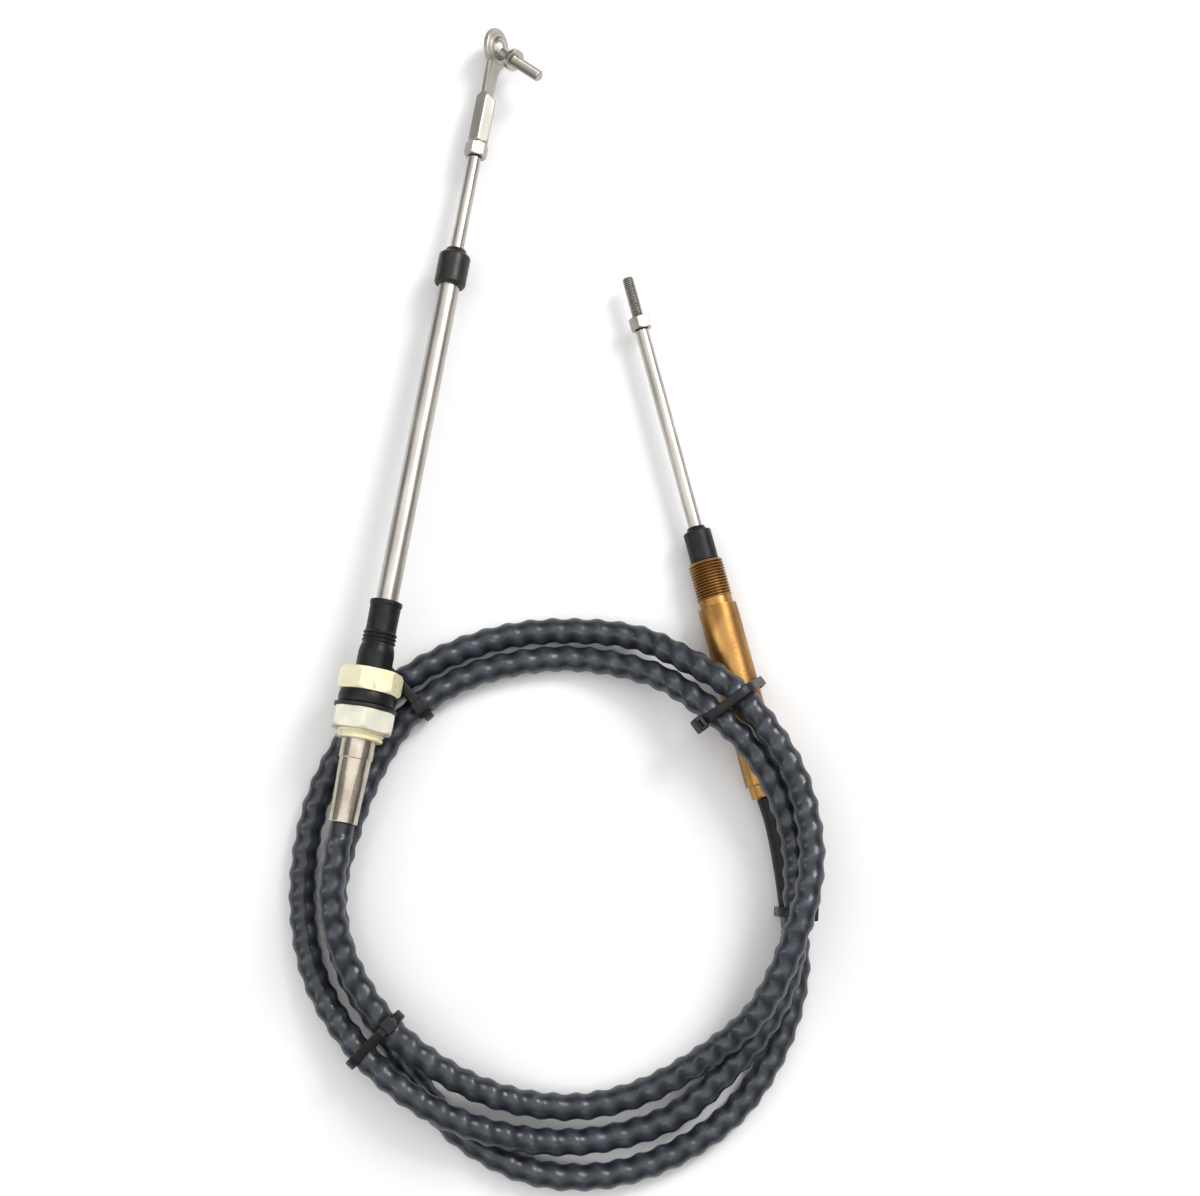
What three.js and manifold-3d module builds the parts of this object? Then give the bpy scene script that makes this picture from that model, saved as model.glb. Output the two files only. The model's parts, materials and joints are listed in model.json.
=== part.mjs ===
// Boat steering cable: a push-pull cable, loosely coiled and tied, lying on a level floor.
// Millimetres, +Z up. The origin is under the middle of the whole cable, at floor level.
// Each end fitting is built along its own +Y axis, with the station 0 at its cable end.

import * as THREE from 'three';
import { mergeVertices } from 'three/addons/utils/BufferGeometryUtils.js';
import Module from 'manifold-3d';

const wasm = await Module();
wasm.setup();

// Fits and facets
const GAP = 0.3;
const SLIDING_FIT = 0.35;
const ROUND = 36;
const SMALL_ROUND = 24;

// Conduit: the ribbed jacket over the steel-wound cable
const CONDUIT_RADIUS = 6.5;
const CONDUIT_SIDES = 10;
const CONDUIT_STEP = 25;
const CONDUIT_CORE_RADIUS = 5.2;
const CONDUIT_CORE_LENGTH = 26;
const NECK_CORE_RADIUS = 4.2;

// Where the hub end lies: its cable end, its heading from +Y and its fall
const HUB_PLACE = [-124.6, -113.6, 34.8];
const HUB_HEADING = 9.58;
const HUB_FALL = 3.3;
const HUB_STRAIGHT = 15;

// Where the input end lies, level on the floor
const INPUT_PLACE = [84.1, -99.3, 11.9];
const INPUT_HEADING = -14.56;
const INPUT_STRAIGHT = 20;

// Hub ferrule, crimped on the conduit, with its barrel through the hull fitting
const FERRULE_MOUTH_RADIUS = 7.0;
const FERRULE_CRIMP_RADIUS = 7.8;
const FERRULE_BARREL_RADIUS = 8.3;
const FERRULE_CRIMP_LENGTH = 31.5;
const FERRULE_WALL = 1.4;
const SPIGOT_RADIUS = 6.5;
const SPIGOT_LENGTH = 14;

// Hull fitting: moulded hexagon head and threaded barrel, with gasket, washer and nut
const HULL_THREAD_RADIUS = 11.5;
const HULL_THREAD_START = 41;
const HULL_NUT_FLATS = 29;
const HULL_NUT_THICK = 10.2;
const HULL_NUT_START = 45.6;
const HULL_NUT_TURN = 10;
const HULL_WASHER_RADIUS = 15.6;
const HULL_WASHER_THICK = 1.8;
const HULL_GASKET_RADIUS = 14.2;
const HULL_GASKET_THICK = 6.2;
const HULL_HEAD_FLATS = 28;
const HULL_HEAD_THICK = 11;
const HULL_HEAD_TURN = -12;
const NUT_CHAMFER = 1.3;
const LOCK_NUT_CHAMFER = 0.5;
const HULL_NUT_ANGLE = 30 + HULL_NUT_TURN;
const HULL_HEAD_ANGLE = 30 + HULL_HEAD_TURN;

// Rubber swivel boot
const BOOT_LENGTH = 35;
const BOOT_ROOT_RADIUS = 8.9;
const BOOT_RING_RADIUS = 8.5;
const BOOT_NECK_RADIUS = 7.7;
const BOOT_LIP_RADIUS = 8.1;
const BOOT_LIP_LENGTH = 2.3;
const BOOT_RING_LENGTH = 5;
const BOOT_NECK_LENGTH = 18;
const BOOT_TAPER = 3;

// Guide tube, its seal cap and the output rod
const TUBE_RADIUS = 5.5;
const TUBE_BALL_RADIUS = 5.2;
const TUBE_LENGTH = 202;
const TUBE_BORE_DEPTH = 130;
const ROD_RADIUS = 3.5;
const OUTPUT_ROD_IN_TUBE = 78;
const OUTPUT_ROD_SHOWN = 53;
const TUBE_CAP_RADIUS = 8.2;
const TUBE_CAP_LENGTH = 17.4;
const TUBE_CAP_RING_RADIUS = 6.1;
const TUBE_CAP_RING_LENGTH = 2.8;
const TUBE_CAP_OVERHANG = 3;
const TUBE_CAP_CHAMFER = 0.8;
const SEAL_LIP_TAPER = 1;

// Thread, lock nut and ball joint on the output rod
const STUD_RADIUS = 3;
const OUTPUT_NUT_FLATS = 10.5;
const OUTPUT_NUT_THICK = 7.2;
const OUTPUT_NUT_ANGLE = 15;
const SOCKET_FLATS = 10;
const SOCKET_LENGTH = 26.7;
const SOCKET_THREAD_DEPTH = 20;
const STRAP_THICK = 3;
const STRAP_ROOT_WIDTH = 8.6;
const STRAP_EYE_WIDTH = 10.6;
const EYE_DISTANCE = 29;
const EYE_RADIUS = 10.7;
const EYE_BOSS_RADIUS = 8;
const EYE_BOSS_HALF = 2.4;
const EYE_TILT = 28;
const BALL_RADIUS = 6;
const BALL_BACK = 4;
const BALL_SWING = 32.5;
const COLLAR_RADIUS = 5.8;
const COLLAR_START = 13.3;
const COLLAR_THICK = 3;
const BALL_STUD_LENGTH = 36.5;
const STUD_CHAMFER = 1;

// Input end: rubber sleeve, bronze body, seal cap, rod and nut
const SLEEVE_RADIUS = 6.3;
const SLEEVE_LENGTH = 66;
const SLEEVE_WALL = 1.4;
const BRASS_NECK_RADIUS = 8.5;
const BRASS_NECK_LENGTH = 6.5;
const BRASS_BODY_RADIUS = 10;
const BRASS_BODY_LENGTH = 92;
const BRASS_GROOVE_RADIUS = 8.4;
const BRASS_GROOVE_LENGTH = 4.4;
const BRASS_THREAD_RADIUS = 9;
const BRASS_THREAD_LENGTH = 19.4;
const BRASS_CORE_DEPTH = 9;
const BRASS_SOLID = 4;
const BRASS_THREAD_CHAMFER = 1;
const SEAL_CAP_RADIUS = 7.15;
const SEAL_CAP_LENGTH = 16;
const SEAL_RING_RADIUS = 5.2;
const SEAL_RING_LENGTH = 2.3;
const SEAL_CAP_CHAMFER = 0.6;
const INPUT_ROD_IN_BODY = 58;
const INPUT_ROD_SHOWN = 107.8;
const INPUT_NUT_FLATS = 10;
const INPUT_NUT_THICK = 6.5;
const INPUT_NUT_ANGLE = 20;
const INPUT_STUD_SHOWN = 22.5;

// Cable ties
const TIE_WIDTH = 4.8;
const TIE_THICK = 1.2;
const TIE_SLACK = 0.7;
const TIE_EASE = 0.75;
const TIE_HEAD = [6.5, 7.5, 5];
const TIE_FACETS = 40;
const TIE_SPREAD = 4.5;
const TIE_HEAD_LIFT = 0.1;

// Where each tie is: its strands' places, counted in route points from the hub ferrule's mouth, and the
// angle of its head, in degrees from the side. One also holds the bronze body, and one the sleeve.
const LOWER_LEFT_TIE = { places: [5.2, 31.2, 54.05], headAngle: 80 };
const UPPER_LEFT_TIE = { places: [24.98, 48.83], headAngle: 82 };
const UPPER_RIGHT_TIE = { places: [18.82, 43.95], bodyStation: 51.5, lean: 0.7, headAngle: 25 };
const RIGHT_TIE = { places: [39.92], sleevePlace: 62.78, headAngle: 185 };

// Route of the conduit between its two straight ends. Point 0 is the hub ferrule's mouth.
const ROUTE = [
    [-129.5, -147.5, 34], [-126.5, -168, 30], [-118.5, -188, 25], [-105.5, -207, 22.6],
    [-86.5, -224.5, 21], [-61.5, -239.5, 16], [-35, -248, 10], [-7, -249.5, 8],
    [20.5, -242.5, 10.5], [46, -228.5, 17], [70, -209.5, 28], [83, -191, 34.6],
    [94, -165, 38.8], [100.5, -142.5, 38.5], [101.5, -120, 37.4], [95.5, -93, 37.4],
    [82.5, -69, 37.9], [65.5, -48, 32.5], [45.5, -34, 25.5], [20, -20.5, 13.5],
    [-10, -16, 8.5], [-42, -17.5, 6.7], [-73, -26.5, 7.5], [-100.5, -42.5, 9.2],
    [-124, -67, 7.3], [-139.5, -96, 6.6], [-147, -128, 6.6], [-147, -160.5, 7],
    [-139, -190.5, 9.5], [-120.5, -218, 15], [-94, -241, 20.8], [-64, -257, 19],
    [-31, -265.5, 11], [2, -265, 6.7], [35, -254.5, 8.5], [60.5, -233, 12.8],
    [79.5, -210.5, 17.9], [91.5, -184.5, 20.9], [95.5, -154, 22.6], [95, -125, 24.2],
    [88, -100.5, 27.9], [74, -76.5, 30.2], [55, -58.5, 28], [28, -39.5, 17],
    [-8, -30.3, 7], [-40, -31.8, 6.6], [-70.5, -40.8, 7.5], [-95.5, -58, 9.2],
    [-113, -84, 7], [-125.5, -116, 6.6], [-132, -150, 6.6], [-124, -185, 7.2],
    [-106, -213, 9.2], [-87.5, -241, 7.2], [-67, -263.5, 6.6], [-35, -280, 6.6],
    [0, -282.5, 6.6], [35, -272.5, 6.6], [66, -251.5, 6.6], [87, -220.5, 6.6],
    [97, -185, 7], [94, -149, 9.1],
];

const radians = THREE.MathUtils.degToRad;

// The frame of a fitting: +Y along it, +X level, +Z as near upright as its fall allows.
function fittingFrame(place, heading, fall) {
    const frame = new THREE.Matrix4().makeRotationZ(radians(-heading));
    frame.multiply(new THREE.Matrix4().makeRotationX(radians(-fall)));
    return frame.setPosition(...place);
}

const hubFrame = fittingFrame(HUB_PLACE, HUB_HEADING, HUB_FALL);
const inputFrame = fittingFrame(INPUT_PLACE, INPUT_HEADING, 0);
const onHub = (station) => new THREE.Vector3(0, station, 0).applyMatrix4(hubFrame);
const onInput = (station) => new THREE.Vector3(0, station, 0).applyMatrix4(inputFrame);

// A turned solid about +Y from its [radius, station] corners. It closes on the axis, or on itself for a ring.
function turned(corners, segments = ROUND, ring = false) {
    const points = corners.map(([radius, station]) => new THREE.Vector2(radius, station));
    if (ring) points.push(points[0].clone());
    return new THREE.LatheGeometry(points, segments);
}

// A ring turned about +Y from bore to outside between two stations.
function collarRing(bore, outside, from, to, segments = ROUND) {
    return turned([[bore, from], [outside, from], [outside, to], [bore, to]], segments, true);
}

// A round bar along +Y, with its far end chamfered where asked.
function bar(radius, from, to, chamfer = 0, segments = SMALL_ROUND) {
    const corners = [[0, from], [radius, from], [radius, to - chamfer]];
    if (chamfer > 0) corners.push([radius - chamfer, to]);
    corners.push([0, to]);
    return turned(corners, segments);
}

function polygon(radius, sides, turn = 0) {
    const corners = [];
    for (let i = 0; i < sides; i += 1) {
        const angle = radians(turn) + (i / sides) * Math.PI * 2;
        corners.push(new THREE.Vector2(radius * Math.cos(angle), radius * Math.sin(angle)));
    }
    return corners;
}

// A hexagon bar along +Y. With no turn, one of its corners points along +X.
function hexagonBar(flats, from, to, turn = 0) {
    const shape = new THREE.Shape(polygon(flats / Math.sqrt(3), 6, turn));
    const solid = new THREE.ExtrudeGeometry(shape, { depth: to - from, bevelEnabled: false });
    return solid.rotateX(-Math.PI / 2).translate(0, from, 0);
}

// Joining and cutting
function toSolid(geometry) {
    const bare = geometry.clone();
    bare.deleteAttribute('normal');
    bare.deleteAttribute('uv');
    const merged = mergeVertices(bare, 1e-4);
    const triVerts = new Uint32Array(merged.index.array);
    const vertProperties = new Float32Array(merged.attributes.position.array);
    return new wasm.Manifold(new wasm.Mesh({ numProp: 3, vertProperties, triVerts }));
}

function toGeometry(solid) {
    const mesh = solid.getMesh();
    const geometry = new THREE.BufferGeometry();
    geometry.setAttribute('position', new THREE.BufferAttribute(mesh.vertProperties, 3));
    geometry.setIndex(new THREE.BufferAttribute(mesh.triVerts, 1));
    geometry.computeVertexNormals();
    return geometry;
}

function joined(...pieces) {
    return toGeometry(pieces.map(toSolid).reduce((whole, piece) => whole.add(piece)));
}

function cut(geometry, ...tools) {
    return toGeometry(tools.map(toSolid).reduce((whole, tool) => whole.subtract(tool), toSolid(geometry)));
}

// A hexagon nut with both faces chamfered at its corners, and its bore.
function hexagonNut(flats, bore, from, to, turn, chamfer) {
    const corner = flats / Math.sqrt(3) + GAP;
    const inner = corner - chamfer * 1.6;
    const blank = turned([
        [0, from], [inner, from], [corner, from + chamfer * 0.75],
        [corner, to - chamfer * 0.75], [inner, to], [0, to],
    ]);
    const nut = toSolid(hexagonBar(flats, from, to, turn)).intersect(toSolid(blank));
    return cut(toGeometry(nut), bar(bore, from - 1, to + 1, 0, ROUND));
}

// Scene graph
const cable = new THREE.Group();

function fitting(frame, parent = cable) {
    const group = new THREE.Group();
    frame.decompose(group.position, group.quaternion, group.scale);
    parent.add(group);
    return group;
}

function piece(name, geometry, material, parent = cable) {
    const mesh = new THREE.Mesh(geometry, material);
    mesh.name = name;
    parent.add(mesh);
    return mesh;
}

const hub = fitting(hubFrame);
const input = fitting(inputFrame);

// Materials
function finish(color, roughness, metalness) {
    return new THREE.MeshStandardMaterial({ color, roughness, metalness });
}

const jacket = finish(0x39414d, 0.5, 0);
const blackRubber = finish(0x1b1b1d, 0.75, 0);
const blackPlastic = finish(0x26262a, 0.5, 0);
const stainless = finish(0xb9b8b2, 0.28, 1);
const nickel = finish(0xa59b8a, 0.32, 1);
const bronze = finish(0xa06f35, 0.35, 1);
const creamPlastic = finish(0xe9dfb4, 0.45, 0);
const whitePlastic = finish(0xdcdccd, 0.45, 0);

// Conduit route
const hubMouth = onHub(-GAP);
const route = new THREE.CatmullRomCurve3([
    hubMouth,
    onHub(-HUB_STRAIGHT),
    ...ROUTE.map((point) => new THREE.Vector3(...point)),
    onInput(-INPUT_STRAIGHT),
    onInput(-GAP),
], false, 'catmullrom', 0.5);
route.arcLengthDivisions = 2000;
const routeLength = route.getLength();
const routeSpans = route.points.length - 1;

// A stretch of the route, between two distances along it.
class Stretch extends THREE.Curve {
    constructor(from, to) {
        super();
        this.from = from / routeLength;
        this.to = to / routeLength;
    }

    getPoint(t, target = new THREE.Vector3()) {
        return route.getPointAt(THREE.MathUtils.lerp(this.from, this.to, t), target);
    }
}

// A tube or bar of the given section along a stretch of the route.
function along(from, to, radius, bore = 0) {
    const shape = new THREE.Shape(polygon(radius, CONDUIT_SIDES));
    if (bore > 0) shape.holes.push(new THREE.Path(polygon(bore, CONDUIT_SIDES)));
    const steps = Math.ceil((to - from) / CONDUIT_STEP);
    return new THREE.ExtrudeGeometry(shape, {
        steps, extrudePath: new Stretch(from, to), bevelEnabled: false, curveSegments: 1,
    });
}

// Conduit: its jacket is stripped inside the ferrule and under the sleeve
const jacketEnd = routeLength - SLEEVE_LENGTH;
const ferruleCore = bar(CONDUIT_CORE_RADIUS, -1, CONDUIT_CORE_LENGTH).applyMatrix4(hubFrame);
const brassCore = bar(NECK_CORE_RADIUS, -1, BRASS_CORE_DEPTH - GAP).applyMatrix4(inputFrame);
const sleeveCore = along(jacketEnd - 1, routeLength, NECK_CORE_RADIUS);
const conduit = joined(along(0, jacketEnd, CONDUIT_RADIUS), ferruleCore, sleeveCore, brassCore);
piece('conduit', conduit, jacket);

const sleeve = along(jacketEnd + GAP, routeLength, SLEEVE_RADIUS, SLEEVE_RADIUS - SLEEVE_WALL);
piece('input_sleeve', sleeve, blackRubber);

// Hub ferrule: crimped mouth, plain barrel and a spigot with a dished seat for the swivelling tube
const headStart = HULL_NUT_START + HULL_NUT_THICK + HULL_WASHER_THICK + HULL_GASKET_THICK + 3 * GAP;
const headEnd = headStart + HULL_HEAD_THICK;
const spigotStart = headEnd + GAP;
const spigotEnd = spigotStart + SPIGOT_LENGTH;
const swivel = spigotEnd + TUBE_BALL_RADIUS * 0.6;
const coreBore = CONDUIT_CORE_RADIUS + SLIDING_FIT;
const ferruleBlank = turned([
    [0, 0], [FERRULE_MOUTH_RADIUS, 0], [FERRULE_CRIMP_RADIUS, FERRULE_CRIMP_LENGTH],
    [FERRULE_BARREL_RADIUS, FERRULE_CRIMP_LENGTH], [FERRULE_BARREL_RADIUS, spigotStart],
    [SPIGOT_RADIUS, spigotStart], [SPIGOT_RADIUS, spigotEnd], [0, spigotEnd],
]);
const seat = new THREE.SphereGeometry(TUBE_BALL_RADIUS + GAP, ROUND, 18).translate(0, swivel, 0);
const coreHole = bar(coreBore, -1, CONDUIT_CORE_LENGTH + FERRULE_WALL);
piece('hub_ferrule', cut(ferruleBlank, coreHole, seat), nickel, hub);

// Hull fitting, gasket, washer and nut
const barrelBore = FERRULE_BARREL_RADIUS + SLIDING_FIT;
const hullHead = hexagonNut(HULL_HEAD_FLATS, barrelBore, headStart, headEnd, HULL_HEAD_ANGLE, NUT_CHAMFER);
const hullBarrel = collarRing(barrelBore, HULL_THREAD_RADIUS, HULL_THREAD_START, headStart + 1);
piece('hull_fitting', joined(hullHead, hullBarrel), creamPlastic, hub);

const nutEnd = HULL_NUT_START + HULL_NUT_THICK;
const threadBore = HULL_THREAD_RADIUS + GAP;
const hullNut = hexagonNut(HULL_NUT_FLATS, threadBore, HULL_NUT_START, nutEnd, HULL_NUT_ANGLE, NUT_CHAMFER);
piece('hull_nut', hullNut, whitePlastic, hub);

const washerStart = nutEnd + GAP;
const washerEnd = washerStart + HULL_WASHER_THICK;
piece('hull_washer', collarRing(threadBore, HULL_WASHER_RADIUS, washerStart, washerEnd), blackPlastic, hub);

const gasketStart = washerEnd + GAP;
const gasketEnd = gasketStart + HULL_GASKET_THICK;
piece('hull_gasket', collarRing(threadBore, HULL_GASKET_RADIUS, gasketStart, gasketEnd), blackRubber, hub);

// Swivel boot: a moulded rubber tube with two rings, from the hull fitting to the guide tube
const bootStart = spigotStart + GAP;
const bootEnd = bootStart + BOOT_LENGTH;
const neckStart = bootEnd - BOOT_NECK_LENGTH;
const ringStart = neckStart - BOOT_RING_LENGTH;
const spigotBore = SPIGOT_RADIUS + GAP;
const tubeBore = TUBE_RADIUS + GAP;
const bootProfile = [
    [spigotBore, bootStart], [BOOT_ROOT_RADIUS, bootStart], [BOOT_ROOT_RADIUS, ringStart - BOOT_TAPER],
    [BOOT_NECK_RADIUS, ringStart],
];
for (let ring = 0; ring < 2; ring += 1) {
    const foot = ringStart + (ring * BOOT_RING_LENGTH) / 2;
    bootProfile.push([BOOT_RING_RADIUS, foot + BOOT_RING_LENGTH * 0.2]);
    bootProfile.push([BOOT_RING_RADIUS, foot + BOOT_RING_LENGTH * 0.3]);
    bootProfile.push([BOOT_NECK_RADIUS, foot + BOOT_RING_LENGTH * 0.5]);
}
bootProfile.push(
    [BOOT_NECK_RADIUS, bootEnd - BOOT_LIP_LENGTH],
    [BOOT_LIP_RADIUS, bootEnd - BOOT_LIP_LENGTH],
    [BOOT_LIP_RADIUS, bootEnd],
    [tubeBore, bootEnd],
    [tubeBore, swivel],
    [spigotBore, spigotEnd],
);
piece('swivel_boot', turned(bootProfile, ROUND, true), blackRubber, hub);

// Guide tube: a ball end in the ferrule's seat, and a bore for the rod, open at the cap
const tubeEnd = swivel + TUBE_LENGTH;
const rodBore = ROD_RADIUS + SLIDING_FIT;
const ballEnd = new THREE.SphereGeometry(TUBE_BALL_RADIUS, SMALL_ROUND, 16).translate(0, swivel, 0);
const tubeBody = bar(TUBE_RADIUS, swivel + 2, tubeEnd, 0, ROUND);
const rodHole = bar(rodBore, tubeEnd - TUBE_BORE_DEPTH, tubeEnd + 1);
piece('guide_tube', cut(joined(ballEnd, tubeBody), rodHole), stainless, hub);

const capEnd = tubeEnd + TUBE_CAP_OVERHANG;
const capStart = capEnd - TUBE_CAP_LENGTH;
const capTop = capEnd + TUBE_CAP_RING_LENGTH;
const tubeCap = turned([
    [tubeBore, capStart], [TUBE_CAP_RADIUS - TUBE_CAP_CHAMFER, capStart],
    [TUBE_CAP_RADIUS, capStart + TUBE_CAP_CHAMFER],
    [TUBE_CAP_RADIUS, capEnd - TUBE_CAP_CHAMFER], [TUBE_CAP_RADIUS - TUBE_CAP_CHAMFER, capEnd],
    [TUBE_CAP_RING_RADIUS, capEnd], [TUBE_CAP_RING_RADIUS - SEAL_LIP_TAPER, capTop], [rodBore, capTop],
    [rodBore, tubeEnd + GAP], [tubeBore, tubeEnd + GAP],
], ROUND, true);
piece('tube_cap', tubeCap, blackPlastic, hub);

// Output rod with its turned-down threaded end
const outputNutStart = capTop + OUTPUT_ROD_SHOWN;
const outputNutEnd = outputNutStart + OUTPUT_NUT_THICK;
const socketStart = outputNutEnd + GAP;
const socketEnd = socketStart + SOCKET_LENGTH;
const threadEnd = socketStart + SOCKET_THREAD_DEPTH - 1;
const outputRod = turned([
    [0, tubeEnd - OUTPUT_ROD_IN_TUBE], [ROD_RADIUS, tubeEnd - OUTPUT_ROD_IN_TUBE],
    [ROD_RADIUS, outputNutStart - GAP], [STUD_RADIUS, outputNutStart - GAP],
    [STUD_RADIUS, threadEnd], [0, threadEnd],
], SMALL_ROUND);
piece('output_rod', outputRod, stainless, hub);

const studBore = STUD_RADIUS + GAP;
const outputNut = hexagonNut(OUTPUT_NUT_FLATS, studBore, outputNutStart, outputNutEnd, OUTPUT_NUT_ANGLE, LOCK_NUT_CHAMFER);
piece('output_lock_nut', outputNut, stainless, hub);

// Ball joint: hexagon socket, flat strap and eye with a spherical seat, in the tilted plane of the eye
const eyeStation = socketEnd + EYE_DISTANCE;
const ballJoint = new THREE.Group();
ballJoint.rotation.y = radians(-EYE_TILT);
hub.add(ballJoint);

function disc(radius, half, segments = ROUND) {
    const solid = new THREE.CylinderGeometry(radius, radius, half * 2, segments);
    return solid.rotateZ(Math.PI / 2).translate(0, eyeStation, 0);
}

const strapShape = new THREE.Shape([
    new THREE.Vector2(-STRAP_ROOT_WIDTH / 2, socketEnd - 1), new THREE.Vector2(STRAP_ROOT_WIDTH / 2, socketEnd - 1),
    new THREE.Vector2(STRAP_EYE_WIDTH / 2, eyeStation), new THREE.Vector2(-STRAP_EYE_WIDTH / 2, eyeStation),
]);
const strap = new THREE.ExtrudeGeometry(strapShape, { depth: STRAP_THICK, bevelEnabled: false });
strap.rotateY(Math.PI / 2).translate(-STRAP_THICK / 2, 0, 0);
const socket = hexagonBar(SOCKET_FLATS, socketStart, socketEnd);
const ballSeat = new THREE.SphereGeometry(BALL_RADIUS + GAP, ROUND, 18).translate(0, eyeStation, 0);
const threadHole = bar(studBore, socketStart - 1, socketStart + SOCKET_THREAD_DEPTH);
const eyeBlank = joined(socket, strap, disc(EYE_RADIUS, STRAP_THICK / 2), disc(EYE_BOSS_RADIUS, EYE_BOSS_HALF));
piece('ball_joint_socket', cut(eyeBlank, ballSeat, threadHole), stainless, ballJoint);

// Ball stud, turned about its own axis from the ball's centre
const ballProfile = [[0, -BALL_BACK]];
const ballFrom = Math.acos(-BALL_BACK / BALL_RADIUS);
const ballTo = Math.asin(STUD_RADIUS / BALL_RADIUS);
const BALL_RINGS = 14;
for (let i = 0; i <= BALL_RINGS; i += 1) {
    const angle = THREE.MathUtils.lerp(ballFrom, ballTo, i / BALL_RINGS);
    ballProfile.push([BALL_RADIUS * Math.sin(angle), BALL_RADIUS * Math.cos(angle)]);
}
ballProfile.push(
    [STUD_RADIUS, COLLAR_START], [COLLAR_RADIUS, COLLAR_START],
    [COLLAR_RADIUS, COLLAR_START + COLLAR_THICK], [STUD_RADIUS, COLLAR_START + COLLAR_THICK],
    [STUD_RADIUS, BALL_STUD_LENGTH - STUD_CHAMFER], [STUD_RADIUS - STUD_CHAMFER, BALL_STUD_LENGTH],
    [0, BALL_STUD_LENGTH],
);
const ballStud = piece('ball_stud', turned(ballProfile, SMALL_ROUND), stainless, ballJoint);
ballStud.position.y = eyeStation;
ballStud.rotation.z = radians(-90 - BALL_SWING);

// Bronze input body: neck, body, groove and thread, bored for the rod, with a pocket for the cable
const bodyStart = BRASS_NECK_LENGTH;
const bodyEnd = bodyStart + BRASS_BODY_LENGTH;
const threadStart = bodyEnd + BRASS_GROOVE_LENGTH;
const brassEnd = threadStart + BRASS_THREAD_LENGTH;
const cableBore = NECK_CORE_RADIUS + SLIDING_FIT;
const brass = turned([
    [cableBore, 0], [BRASS_NECK_RADIUS, 0], [BRASS_NECK_RADIUS, bodyStart],
    [BRASS_BODY_RADIUS, bodyStart], [BRASS_BODY_RADIUS, bodyEnd], [BRASS_GROOVE_RADIUS, bodyEnd],
    [BRASS_GROOVE_RADIUS, threadStart], [BRASS_THREAD_RADIUS, threadStart],
    [BRASS_THREAD_RADIUS, brassEnd - BRASS_THREAD_CHAMFER],
    [BRASS_THREAD_RADIUS - BRASS_THREAD_CHAMFER, brassEnd], [rodBore, brassEnd],
    [rodBore, BRASS_CORE_DEPTH + BRASS_SOLID], [0, BRASS_CORE_DEPTH + BRASS_SOLID],
    [0, BRASS_CORE_DEPTH], [cableBore, BRASS_CORE_DEPTH],
], ROUND, true);
piece('input_body', brass, bronze, input);

const sealStart = brassEnd + GAP;
const sealEnd = sealStart + SEAL_CAP_LENGTH;
const sealTop = sealEnd + SEAL_RING_LENGTH;
const sealCap = turned([
    [rodBore, sealStart], [SEAL_CAP_RADIUS, sealStart], [SEAL_CAP_RADIUS, sealEnd - SEAL_CAP_CHAMFER],
    [SEAL_CAP_RADIUS - SEAL_CAP_CHAMFER, sealEnd], [SEAL_RING_RADIUS, sealEnd],
    [SEAL_RING_RADIUS - SEAL_LIP_TAPER, sealTop], [rodBore, sealTop],
], ROUND, true);
piece('seal_cap', sealCap, blackRubber, input);

const inputNutStart = sealTop + INPUT_ROD_SHOWN;
const inputNutEnd = inputNutStart + INPUT_NUT_THICK;
const studEnd = inputNutEnd + INPUT_STUD_SHOWN;
const inputRod = turned([
    [0, brassEnd - INPUT_ROD_IN_BODY], [ROD_RADIUS, brassEnd - INPUT_ROD_IN_BODY],
    [ROD_RADIUS, inputNutStart - GAP], [STUD_RADIUS, inputNutStart - GAP],
    [STUD_RADIUS, studEnd - STUD_CHAMFER], [STUD_RADIUS - STUD_CHAMFER, studEnd], [0, studEnd],
], SMALL_ROUND);
piece('input_rod', inputRod, stainless, input);
const inputNut = hexagonNut(INPUT_NUT_FLATS, studBore, inputNutStart, inputNutEnd, INPUT_NUT_ANGLE, LOCK_NUT_CHAMFER);
piece('input_lock_nut', inputNut, stainless, input);

// Cable ties: a strap round the rounds that it holds, in the plane across them, with its ratchet head.
// The strap's outline is the convex hull of the rounds, grown by the slack and the strap's thickness.
function furthest(rounds, way) {
    const reach = rounds.map(({ x, y, radius }) => x * way.x + y * way.y + radius);
    return rounds[reach.indexOf(Math.max(...reach))];
}

function hullOf(rounds, growth) {
    const outline = [];
    for (let i = 0; i < TIE_FACETS; i += 1) {
        const angle = (i / TIE_FACETS) * Math.PI * 2;
        const way = new THREE.Vector2(Math.cos(angle), Math.sin(angle));
        const held = furthest(rounds, way);
        outline.push(new THREE.Vector2(held.x, held.y).addScaledVector(way, held.radius + growth));
    }
    return outline;
}

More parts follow.
